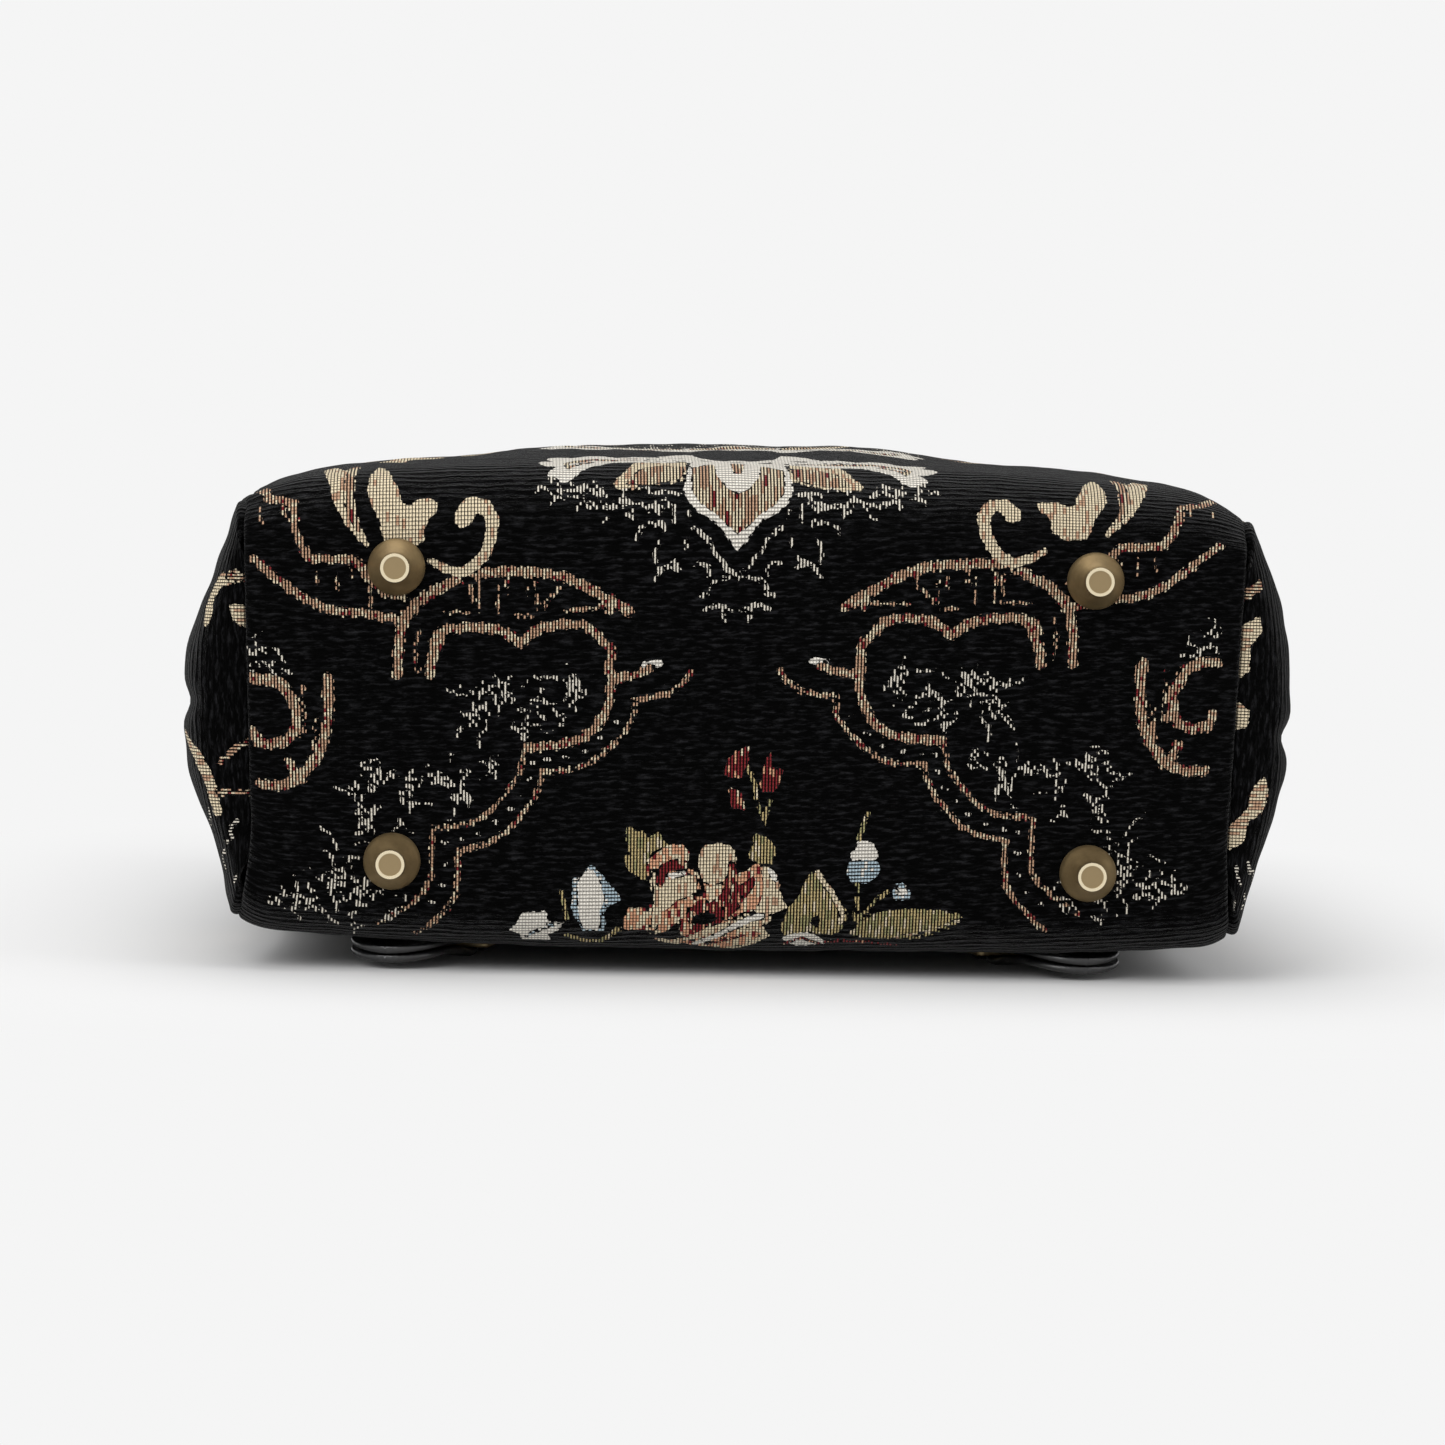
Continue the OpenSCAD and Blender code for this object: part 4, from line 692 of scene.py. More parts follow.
BOUQUET = [
    ("blue", 0, [(-39.9, -40.6), (-37.2, -43), (-35.1, -45.7), (-32, -48.8), (-31.4, -50.8), (-34.7, -52.3),
        (-36.2, -54.4), (-35.8, -57.3), (-36.4, -60.2), (-42.1, -60.1), (-44.3, -55.8), (-45.5, -52.7),
        (-45.5, -44.9), (-42.8, -42.9)]),
    ("white", 0, [(-39.9, -41), (-38, -44), (-36.6, -47.4), (-36, -50.2), (-37.3, -54.1), (-37.2, -57.1),
        (-37.6, -59.6), (-41.8, -59.5), (-43.2, -55.8), (-43.7, -52.7), (-44, -45.6), (-42.4, -43.3)],
        [(-59.2, -53.9), (-52.6, -53.5), (-52.5, -57.1), (-47.8, -56.7), (-49.2, -59.5), (-52.5, -61.5),
        (-50.6, -64), (-60.1, -63.9), (-59.2, -61.4), (-63, -60)]),
    ("blue", 0.5, [(-58.4, -62.4), (-54.4, -59.6), (-50.4, -57.6)]),
    ("dark", 0.35, [(-56.8, -60.6), (-53, -58.6)]),
    ("olive", 0.5, [(-48.3, -47.9), (-47.8, -51.2), (-46.4, -56.2)]),
    ("olive", 0.9, [(-46.6, -61.3), (-42, -64.1), (-37.2, -64.4), (-33.7, -61.1), (-31.3, -58.8)]),
    ("olive", 0, [(-29, -29), (-28.3, -31), (-24.5, -31.4), (-24.2, -33.5), (-20.3, -31.5), (-20, -34.2),
        (-17.9, -35.1), (-22.6, -37.1), (-24.1, -40), (-24, -45.4), (-26.7, -44.4), (-29.7, -42.3), (-30.3, -40.2),
        (-31.2, -38.4), (-29.2, -37.8), (-30.1, -34), (-30.1, -30.1)], [(5.9, -32.9), (7.4, -32.6), (9.8, -33.8),
        (12, -36), (12.3, -38.9), (11.5, -41.3), (8.5, -41.2), (5.5, -40.3), (4.5, -37.6), (5.7, -36.4)]),
    ("peach", 0, [(-31.3, -58.1), (-29, -53), (-26.6, -52.7), (-24.2, -53.1), (-22.9, -56.2), (-24.7, -59.6),
        (-29.5, -59.9)], [(-24.1, -39.4), (-20.8, -37.1), (-17.9, -35.4), (-14.3, -35.2), (-12.2, -37.3),
        (-12.1, -42.3), (-9.4, -43), (-9, -48), (-10.5, -50.4), (-12.8, -53.9), (-15.1, -57), (-18.6, -60.5),
        (-22.8, -61.6), (-24.4, -59.6), (-23.3, -54.9), (-22.5, -48.4), (-23.4, -46), (-24, -42.4)]),
    ("cream", 0, [(-23.1, -42.4), (-22, -41.5), (-21.6, -46), (-20.1, -47.8), (-18.9, -45.5), (-15.4, -44),
        (-10, -43.9), (-9.6, -48), (-12.3, -50.3), (-15.2, -50.9), (-17.6, -53.2), (-20, -54.4), (-21.1, -59.7),
        (-22.9, -60.4), (-22.4, -54.3), (-21.9, -48.4)]),
    ("red", 0, [(-21.3, -44.2), (-20.2, -41), (-17.2, -39.6), (-13.6, -39.5), (-12.1, -40.5), (-12.4, -42.3),
        (-15.4, -42.3), (-17.8, -42.5), (-18.9, -44.3), (-19.8, -47.2), (-21, -46)]),
    ("white", 0, [(-18.3, -43.4), (-13, -42.5), (-12.2, -43.9), (-15.3, -44.6), (-18.9, -45)]),
    ("cream", 0, [(-9.2, -37.3), (-7.7, -35.3), (-3.6, -35.1), (-0.6, -35.4), (1, -37.5), (1.3, -40.5), (-1, -44),
        (-2.7, -46.4), (-5.7, -46.9), (-8.1, -45.7), (-9.4, -42.1)]),
    ("peach", 0, [(-8.1, -46.3), (-5.7, -46.9), (-2.4, -46.3), (-1, -44.1), (-1.1, -40.5), (1, -40.2), (2, -43.5),
        (5, -42.7), (6.7, -40.6), (8.7, -42.4), (9.4, -46.6), (8.9, -50.8), (7, -54.3), (2.8, -54.8), (-0.7, -57.3),
        (-6.6, -61.4), (-12.5, -63.1), (-15, -61.3), (-13.4, -55.1), (-10.5, -50.7), (-7.5, -49.2)]),
    ("red", 0, [(-12.8, -55.1), (-10.4, -51.9), (-7.5, -50.6), (-6.8, -52.2), (-4.5, -51.1), (-2.7, -49.3),
        (-1, -44.6), (-0.6, -40.5), (0.9, -40.8), (1.9, -44.2), (1.4, -48.2), (4.4, -45.9), (6.8, -44.3),
        (6.6, -47.1), (3.9, -51), (2.2, -53.6), (-1, -56.3), (-5.4, -59.5), (-9.6, -61.8), (-11.1, -59.8)]),
    ("peach", 0.45, [(-10.4, -54.6), (-10.6, -58.4)]),
    ("cream", 0.4, [(-2.3, -51.4), (-2.5, -55.9)], [(0.2, -46.4), (0.1, -52.4)]),
    ("peach", 0.45, [(2.6, -48.3), (2.2, -51.8)]),
    ("cream", 0.4, [(-6.8, -53.4), (-7, -54.6)]),
    ("cream", 0, [(8.2, -41.5), (11.5, -42.2), (14, -46.1), (13.5, -48.5), (15.1, -52.1), (16.3, -53.9),
        (11.3, -55.6), (7.7, -56.8), (5.3, -55.8), (8.2, -52.5), (9.3, -47.8)]),
    ("white", 0, [(10, -42.2), (11.8, -42.8), (13.7, -46.2), (12.8, -46.7), (11, -44.9)]),
    ("dark", 0, [(-11.5, -56.4), (-9.8, -55.2), (-6.8, -54.6), (-3.5, -55.3), (-4.3, -57.2), (-7.3, -58.5),
        (-10.3, -58.1)]),
    ("cream", 0, [(-23.4, -63), (-17.3, -64.2), (-12.5, -63.1), (-6.7, -59.3), (-0.7, -57.4), (4, -55),
        (8.9, -55.9), (12.5, -56.7), (9, -58.8), (11.5, -62.1), (7.5, -66.4), (1, -69.8), (-6.4, -67),
        (-12.4, -67.1), (-18.5, -65.7)]),
    ("peach", 0, [(-14.9, -65.7), (-7.7, -63.1), (-0.6, -60), (5.4, -59.4), (9.1, -61.7), (4.5, -66.4),
        (-1.5, -68.6), (-10, -67.5)]),
    ("white", 0.95, [(-10, -66.3), (-4.1, -62.7), (1.2, -59), (5.3, -56.7), (8.9, -55.9)]),
    ("red", 0.5, [(-6.4, -66.3), (-0.5, -64.2), (4.3, -62)]),
    ("olive", 0, [(23.5, -42.7), (26, -45.1), (29.1, -48.8), (31.6, -53), (33.5, -56), (33, -59.2), (29.6, -62.8),
        (23.5, -61.9), (15.1, -62.5), (14.4, -58.9), (16, -54.5), (18.9, -51), (21.2, -46.2)]),
    ("cream", 0.8, [(24.4, -43.9), (26.9, -47.5), (29.1, -50), (30.4, -53), (32, -55.4), (31.5, -58.5)]),
    ("dark", 0, [(22.7, -57.1), (25.1, -56.2), (26.1, -57.8), (24.9, -59.7), (23.1, -59.3)]),
    ("white", 0, [(14.6, -63.8), (18.7, -61.4), (23.5, -61.5), (26.7, -64.9), (29.7, -64), (26.8, -67),
        (19, -67.7)]),
    ("red", 0.5, [(15.3, -66.4), (20.6, -63.5), (25.6, -66.4), (31.5, -64.9), (38.8, -66), (48, -67.7)]),
    ("white", 0, [(35.8, -35.2), (40, -35.6), (41.3, -38.3), (41.4, -40.8), (33.6, -40.7), (33.8, -38.5),
        (35.3, -37.6)]),
    ("blue", 0, [(33.6, -40.8), (41.4, -41), (42.4, -43.1), (41, -46), (38.6, -47.2), (34.1, -47.1),
        (32.8, -44.1)]),
    ("olive", 0.75, [(38.3, -27.6), (37.2, -31.1), (36.1, -34.6)]),
    ("olive", 0.6, [(35.9, -47.4), (36.1, -53.1), (35.4, -57.3)],
        [(35.4, -57.9), (38.9, -55.5), (41.8, -51.7), (44.7, -50)]),
    ("blue", 0, [(45.9, -49.7), (47, -47.6), (49.4, -47.4), (51.3, -49.8), (50.8, -51.9), (48.1, -52.7),
        (46.3, -51.5)]),
    ("white", 0.5, [(47.1, -48.5), (50.1, -50.4)], [(50, -48.3), (47.8, -51.5)]),
    ("olive", 0, [(33.8, -62.4), (37.2, -58.6), (42.5, -55.6), (49.7, -54.8), (58.1, -55.3), (67.8, -57.3),
        (65, -59.8), (59.7, -62.8), (53.8, -64.7), (47.2, -64.8), (38.7, -64.1)]),
    ("cream", 0.55, [(47.1, -63.8), (53.7, -62.7), (59.6, -61), (66.1, -58.2)]),
    ("red", 0, [(-2.9, -16.3), (-2, -11.7), (0.3, -9.4), (4.5, -7.6), (4.1, -12.7), (2.3, -16.9)], [(7.5, -18.4),
        (8.4, -14.2), (10.1, -9.5), (11.2, -14.3), (14.5, -14.8), (11.8, -20.8), (8.1, -20.8)],
        [(-1.4, -19.2), (2.4, -20.7), (3.5, -25.9), (-0.3, -24.9)]),
    ("olive", 0.5, [(4.1, -13.7), (6.1, -18.4), (6.7, -23.6), (8.7, -28.8)],
        [(10.5, -23.2), (9.6, -26.9), (8.8, -30.7)]),
]
LACE = [
    (34, [(-78.8, 12.7), (-41.6, 14.4), (-37.9, 6.8), (-43.4, 0.3), (-52.7, -3.2), (-64.9, -4.9), (-78, -4.2)]),
    (40, [(-106.1, -9.7), (-93, -10.9), (-79, -11.2), (-64.9, -8.6), (-64, -17.1), (-74.3, -27.2), (-88.5, -28.8),
        (-106.3, -26.6), (-107.6, -20)]),
    (34, [(-127.4, -45), (-110.4, -43.4), (-102.8, -47.3), (-89.6, -50.4), (-99.2, -57.6), (-114.4, -56.7),
        (-126.7, -54.8)]),
    (6, [(-133.1, 27.2), (-128, 26.1), (-128.2, 16.3), (-133.1, 16)]),
    (7, [(-112.1, -35.9), (-105.4, -29.4), (-105.6, -41.6), (-110.4, -43.4)]),
    (22, [(-56.9, 64.9), (-36.9, 63.6), (-21.7, 61.3), (-23.1, 57.1), (-36.9, 57.2), (-45.2, 59.3)]),
]
LEFT_SPRIGS = [
    ("cream", 0, [(-37.7, 8.5), (-38.8, 2), (-37.7, -4.8), (-33.4, -5.2), (-34.9, -0.6), (-34.5, 6), (-31.1, 9.1),
        (-26.2, 9.5), (-22.3, 10.6), (-23.6, 12.3), (-28.8, 12.6), (-34.3, 10.7)]),
    ("band", 1.0, [(-37.1, 5), (-36.3, -0.5), (-35.6, -4.9)]),
    ("cream", 0, [(-29.2, 4), (-29.1, -0.5), (-27.7, -5), (-20.6, -5.2), (-22, -1.8), (-24.5, 2.1)]),
    ("band", 0.8, [(15.6, 7.3), (11.7, 2.8), (7.3, -4.3)]),
    ("cream", 1.6, [(8.2, 22.2), (13, 14.2), (18.3, 11.2), (22.8, 9.6), (29.1, 8.7)]),
    ("band", 0.9, [(23.7, 7.9), (23.7, -1)]),
    ("lace", 0.6, [(31.5, 2.5), (34, 5), (36.5, 4.5), (38, 7.5)], [(29, 12), (32, 13.5), (33.5, 16.5)],
        [(40.5, 9), (42.5, 11.5), (45.5, 11)], [(47, 4), (48.5, 6.5)]),
]
RIGHT_SPRIGS = [
    ("band", 1.5, [(-35.6, -4), (-37.7, -0.6), (-40.2, 4.8)]),
    ("cream", 0, [(-31.4, 3.8), (-27.5, 5.3), (-22.9, 1.4), (-16.4, 1.7), (-13.4, -0.9), (-14.9, -2.2), (-19.1, -4),
        (-25.6, -4.8), (-29.1, -1)], [(-6.3, -4.1), (-7, -0.8), (-4.2, 2.8), (0.1, 1.8), (1.6, -3.3)], [(13.4, 8.1),
        (18.6, 9.5), (24, 8.5), (26.9, 4.3), (32.7, 3.4), (35.1, -1.1), (32.3, -3.7), (27.3, -0.3), (22.9, 3.6),
        (17.9, 4.4)], [(5.1, -11.1), (5.1, -7.5), (11.6, -7), (18, -8.5), (12.3, -10.7)]),
    ("lace", 0.6, [(38.5, 6), (41, 8), (41.5, 11), (44, 12)], [(40, 1.5), (43, 2.5), (45, 5)],
        [(47.5, 8), (49.5, 10.5), (52, 9.5)], [(50, 3), (52.5, 4.5)]),
]
FAR = 9.0


class Figures:
    """Distances in millimetres from each point of the cloth to the edge of each yarn's figures, below 0 inside and
    FAR at most."""

    def __init__(self, x, s):
        self.x, self.s = x.ravel(), s.ravel()
        self.far = {yarn: np.full(self.x.shape, FAR) for yarn in YARNS}

    def paint(self, yarn, gap):
        """A new figure takes its place from those of the other yarns."""
        for key, field in self.far.items():
            if key == yarn:
                np.minimum(field, gap, field)
            else:
                np.maximum(field, -gap, field)

    def pen(self, points):
        """Least distance to the legs of a broken line, less the pen's half width at each point."""
        best = np.full(self.x.shape, FAR)
        for (ax, ay, aw), (bx, by, bw) in zip(points[:-1], points[1:]):
            near_x = np.abs(self.x - (ax + bx) / 2) < FAR + abs(ax - bx) / 2
            near = np.flatnonzero(near_x & (np.abs(self.s - (ay + by) / 2) < FAR + abs(ay - by) / 2))
            px, py, dx, dy = self.x[near] - ax, self.s[near] - ay, bx - ax, by - ay
            h = np.clip((px * dx + py * dy) / max(dx * dx + dy * dy, 1e-9), 0, 1)
            best[near] = np.minimum(best[near], np.hypot(px - h * dx, py - h * dy) - mix(aw, bw, h))
        return best

    def fill(self, points):
        """Distance to a polygon's edge, below 0 inside it by the even-odd rule."""
        ring = [(*p, 0.0) for p in points + points[:1]]
        best, inside = self.pen(ring), np.zeros(self.x.shape, bool)
        for (ax, ay, _), (bx, by, _) in zip(ring[:-1], ring[1:]):
            inside ^= ((ay > self.s) != (by > self.s)) & (self.x < (bx - ax) * (self.s - ay) / (by - ay + 1e-12) + ax)
        return np.where(inside, -best, best)

    def draw(self, entries):
        for yarn, width, *paths in entries:
            for points in paths:
                self.paint(yarn, self.pen([(*p, width)[:3] for p in points]) if width else self.fill(points))

    def lace(self, regions, seed):
        """Small stepped twigs that wander inside each region."""
        rng = np.random.default_rng(seed)
        best = np.full(self.x.shape, FAR)
        for count, points in regions:
            low, high = np.min(points, 0), np.max(points, 0)
            probe = Figures(np.zeros(1), np.zeros(1))
            made = 0
            while made < count:
                spot = rng.uniform(low, high)
                probe.x, probe.s = spot[:1], spot[1:]
                if probe.fill(points)[0] > 0:
                    continue
                first = rng.integers(0, 4) * np.pi / 2
                bends = rng.choice([-1, 0, 1], rng.integers(3, 7))
                turn = first + np.cumsum(bends) * np.pi / 3
                step = rng.uniform(1.0, 2.1, len(turn))[:, None] * np.stack([np.cos(turn), np.sin(turn)], -1)
                path = np.vstack([spot, spot + np.cumsum(step, 0)])
                wide = rng.uniform(0.3, 0.5)
                best = np.minimum(best, self.pen([(*p, wide) for p in path]))
                made += 1
        self.paint("lace", best)

    def join(self, other, share):
        """Takes the other's figures where share is above 0."""
        for key, field in self.far.items():
            np.maximum(field, share, field)
            np.minimum(field, np.maximum(other.far[key], -share), field)

    def fields(self):
        stack = np.stack([self.far[yarn] for yarn in YARNS], -1)
        return {name: stack[:, 3 * i : 3 * i + 3] for i, name in enumerate(FIELDS)}


REPEAT, FIGURE_SHIFT, BASE_LEAN, FRONT_LEAN = (-95, 100), 2.6, -0.037, 0.008


def pattern_place(across, along):
    """Where a point of the wrap lies in the figure: the cloth was cut a little askew, so the figure leans."""
    lean = mix(BASE_LEAN, FRONT_LEAN, smooth(45, 80, along))
    return across + FIGURE_SHIFT, along + lean * across


def mirrored(along, low, high):
    """The figure's repeat: lengths are folded back at low and at high."""
    t = np.mod(along - low, 2 * (high - low))
    return low + np.minimum(t, 2 * (high - low) - t)


# Cloth pieces


def from_feet(x, y):
    """Distance on the base from the nearest foot."""
    return np.min([np.hypot(x - fx, y - fy) for fx, fy in FEET.values()], axis=0)


def puckers(along, edge, phase):
    """Small gathers beside a seam: a sine wave of uneven pitch along it, which fades with the distance from it."""
    wave = np.sin(2 * np.pi * along / PUCKER_PITCH + 1.4 * np.sin(along / 17) + phase)
    return PUCKER * np.exp(-edge / PUCKER_REACH) * wave


def rolled(points, out, flat, radius, angles, tail, axis):
    """Rolls two opposite edges of a grid over: each new row goes round an arc of that radius by these angles, in
    degrees, and a tail goes on straight. The flat coordinates of the cloth go on as well."""
    points, out, flat = (np.swapaxes(v, 0, 1) if axis else v for v in (points, out, flat))

    def roll(edge, inner):
        way, step = points[edge] - points[inner], flat[edge] - flat[inner]
        way, step = (v / np.maximum(np.linalg.norm(v, axis=-1, keepdims=True), 1e-9) for v in (way, step))
        turns = np.radians(angles)
        rows = [points[edge] + radius * (way * np.sin(a) - out[edge] * (1 - np.cos(a))) for a in turns]
        rows.append(rows[-1] + tail * (way * np.cos(turns[-1]) - out[edge] * np.sin(turns[-1])))
        flats = [flat[edge] + radius * a * step for a in turns] + [flat[edge] + (radius * turns[-1] + tail) * step]
        return np.stack(rows), np.stack(flats), np.stack([out[edge]] * len(rows))

    (p0, f0, o0), (p1, f1, o1) = roll(0, 1), roll(-1, -2)
    points = np.concatenate([p0[::-1], points, p1])
    flat = np.concatenate([f0[::-1], flat, f1])
    out = np.concatenate([o0, out, o1])
    return tuple(np.swapaxes(v, 0, 1) if axis else v for v in (points, out, flat))


def cloth_wrap():
    """The wrap with its softness: broad waves, puckers along the side seams that roll in, and dimples at the feet."""
    points, across, along, u = wrap_surface(columns=266, rows=(150, 30, 108, 20, 42))
    x, y, z = np.moveaxis(points, -1, 0)
    edge = (1 - np.abs(u)) * BASE_W / 2
    on_base = (z < FOOT_H + 8) * 1.0
    on_front = smooth(70, 120, along)
    free = 1 - on_base * np.exp(-((from_feet(x, y) / DIMPLE_R) ** 2))
    swell = free * (0.25 + 0.4 * on_front) * ripples(across, along, wave=62, seed=4)
    swell += free * 0.14 * ripples(across, along, wave=17, seed=5)
    swell += puckers(along, edge, np.sign(u))
    slack = smooth(130, 40, TOP_Z - z) * on_front
    swell += 0.9 * slack * ripples(across, 0.35 * along + 0.2 * np.abs(across), wave=40, seed=21)
    swell -= 0.4 * np.exp(-((edge / 6) ** 2))
    swell -= DIMPLE * (1 - free)
    swell *= smooth(0, 10, TOP_Z - z) * 0.9 + 0.1
    out = -normals_of(points)
    points = points + out * swell[..., None]
    flat = np.stack([across, along], -1)
    points, out, flat = rolled(points, out, flat, SEAM_ROLL, SEAM_TURNS, SEAM_TAIL, axis=0)
    points, out, flat = rolled(points, out, flat, CLOTH_T / 2, HEM_TURNS, HEM_L, axis=1)
    x, s = pattern_place(flat[..., 0], flat[..., 1])
    figures = Figures(-np.abs(x), mirrored(s, *REPEAT))
    figures.draw(SCROLL)
    figures.lace(LACE, seed=3)
    figures.x = x.ravel()
    figures.draw(BOUQUET)
    shape = lay(*np.moveaxis(points, -1, 0))
    piece = grid_piece("tapestry_wrap", shape, LOOKS["tapestry"], np.stack([x, s], -1) / 1000, figures.fields())
    ride(piece, "bag", "tapestry", "outer_panel")
    middle = len(points) // 2
    hem = int(np.argmin(np.abs(points[middle, :60, 2] - (TOP_Z - STITCH_DROP))))
    stitches("hem_stitches", shape[9:-9, hem], lay_way(out[9:-9, hem]), STITCH_L, STITCH_PITCH)


def lay_way(way):
    """A direction on the standing bag, turned down with it."""
    return np.stack([way[..., 0], way[..., 2], -way[..., 1]], -1)


def stitches(name, line, out, length, pitch):
    """Row of stitches along a line of points: each is a short spindle of thread, half sunk, at this pitch."""
    legs = np.concatenate([[0], np.cumsum(np.linalg.norm(np.diff(line, axis=0), axis=-1))]) * 1000
    spots = np.arange(pitch / 2, legs[-1], pitch)
    at, up, ahead = (
        np.stack([np.interp(spots + step, legs, source[:, i]) for i in range(3)], -1)
        for source, step in ((line, 0), (out, 0), (line, 0.5))
    )
    ahead = ahead - at
    ahead /= np.linalg.norm(ahead, axis=-1, keepdims=True)
    up /= np.linalg.norm(up, axis=-1, keepdims=True)
    across = np.cross(up, ahead)
    turn = np.linspace(0, 2 * np.pi, 7)[:-1]
    along = np.array([-0.5, -0.4, -0.15, 0.15, 0.4, 0.5])[:, None] * length
    thick = np.array([0.12, 0.3, 0.42, 0.42, 0.3, 0.12])[:, None]
    spindle = np.broadcast_arrays(along, thick * np.cos(turn)[None], thick * np.sin(turn)[None] * 0.8 + 0.1)
    shape = np.stack(spindle, -1).reshape(-1, 3) / 1000
    faces = quads_of(len(along), len(turn), closed=True)[:, ::-1]
    places = np.stack([ahead, across, up, at], -1)
    ride(repeated(name, shape, faces, places, LOOKS["thread"]), "bag", "tapestry")


def cloth_gusset(side, name, sprigs):
    """A side panel with its softness: seams that roll in, puckers beside them and drag lines across the crease."""
    points, a = gusset_surface(side, columns=96, rows=166)
    y, z = points[..., 1], points[..., 2]
    edge = np.minimum(a, 1 - a) * BASE_D
    rise = (z - FOOT_H).clip(0)
    swell = 0.9 * ripples(y, 0.6 * z, wave=58, seed=8 + side) + 0.2 * ripples(y, z, wave=15, seed=12 + side)
    swell += 0.4 * np.exp(-(((a - 0.5) / 0.1) ** 2)) * np.sin(2 * np.pi * z / 31 + 2 * np.sin(z / 23))
    swell += puckers(z, edge, 0)
    swell *= smooth(0, 12, edge) * smooth(0, 14, rise) * smooth(0, 10, TOP_Z - z)
    out = normals_of(points) * side
    points = points + out * swell[..., None]
    legs = np.linalg.norm(np.diff(points, axis=1), axis=-1)
    along = np.concatenate([np.zeros((len(a), 1)), np.cumsum(legs, 1)], 1)
    flat = np.stack([y, along], -1)
    points, out, flat = rolled(points, out, flat, SEAM_ROLL, SEAM_TURNS, SEAM_TAIL, axis=0)
    points, out, flat = rolled(points, out, flat, SEAM_ROLL, SEAM_TURNS, SEAM_TAIL, axis=1)
    figures = Figures(-np.abs(flat[..., 0] + 70 * side), mirrored(flat[..., 1] + 40, *REPEAT))
    figures.draw(SCROLL)
    figures.lace(LACE, seed=3)
    low = Figures(flat[..., 0], flat[..., 1])
    low.draw(sprigs)
    figures.join(low, 28 - flat[..., 1].ravel())
    shape = lay(*np.moveaxis(points, -1, 0))
    piece = grid_piece(name + "_cloth", shape, LOOKS["tapestry"], flat / 1000, figures.fields(), flip=side > 0)
    ride(piece, "bag", "tapestry", name)


def area_of(points):
    """Area of a grid of points."""
    cells = np.cross(np.diff(points, axis=0)[:, :-1], np.diff(points, axis=1)[:-1])
    return float(np.linalg.norm(cells, axis=-1).sum())


def loose_lining():
    """Lining: the wrap and both side panels again, set in by the padding and the board, hanging in soft ripples."""
    points, across, along, _ = wrap_surface(columns=100, rows=(90, 16, 40, 12, 40))
    low = 1 - smooth(FOOT_H, FOOT_H + 18, points[..., 2])
    slack = LINING_SLACK * (1 + ripples(across, 0.5 * along, LINING_WAVE, seed=31))
    depth = LINING_IN + BOARD_ROOM * low + (1 - low) * slack
    wrap = points + normals_of(points) * depth[..., None]
    wrap[..., 0] *= 1 - SIDE_IN / (BASE_W / 2)
    sheets = [("lining_wrap", wrap, False)]
    for side, label in ((-1, "left"), (1, "right")):
        x, y, z = np.moveaxis(gusset_surface(side, columns=60, rows=90)[0], -1, 0)
        x = x - side * (SIDE_IN + LINING_SLACK * (1 + ripples(y, 0.5 * z, LINING_WAVE, seed=33 + side)))
        z = z + BOARD_ROOM * (1 - smooth(0, 30, z - FOOT_H))
        sheets.append(("lining_%s_side" % label, np.stack([x, y * 0.97, z], -1), side < 0))
    height = (TAPE_Z - 1.5 - FOOT_H) / BODY_H
    for name, points, flip in sheets:
        points[..., 2] = FOOT_H + (points[..., 2] - FOOT_H) * height
        shape = lay(*np.moveaxis(points, -1, 0))
        piece = ride(grid_piece(name, shape, LOOKS["lining_weave"], flip=flip), "bag", "lining", "lining")
        area = area_of(shape)
        width = np.ptp(shape[..., 0]) if name == "lining_wrap" else BASE_D / 1000
        1.02 * area / width


cloth_wrap()
loose_lining()
cloth_gusset(-1, "left_gusset", LEFT_SPRIGS)
cloth_gusset(1, "right_gusset", RIGHT_SPRIGS)

# Leather bands


def arc(n, t, radius, start, end):
    """Points of an arc about (n, t), by angles in degrees."""
    a = np.radians(np.linspace(start, end, 7))
    return np.stack([n + radius * np.cos(a), t + radius * np.sin(a)], -1)


def run(n, start, end, count):
    """Points of a straight run at one distance off the back."""
    return np.stack(np.broadcast_arrays(n, np.linspace(start, end, count)), -1)


def ease(n0, t0, n1, t1):
    """Points of a run that eases from one distance off the back to another."""
    k = np.linspace(0, 1, 9)
    return np.stack([mix(n0, n1, smooth(0, 1, k)), mix(t0, t1, k)], -1)


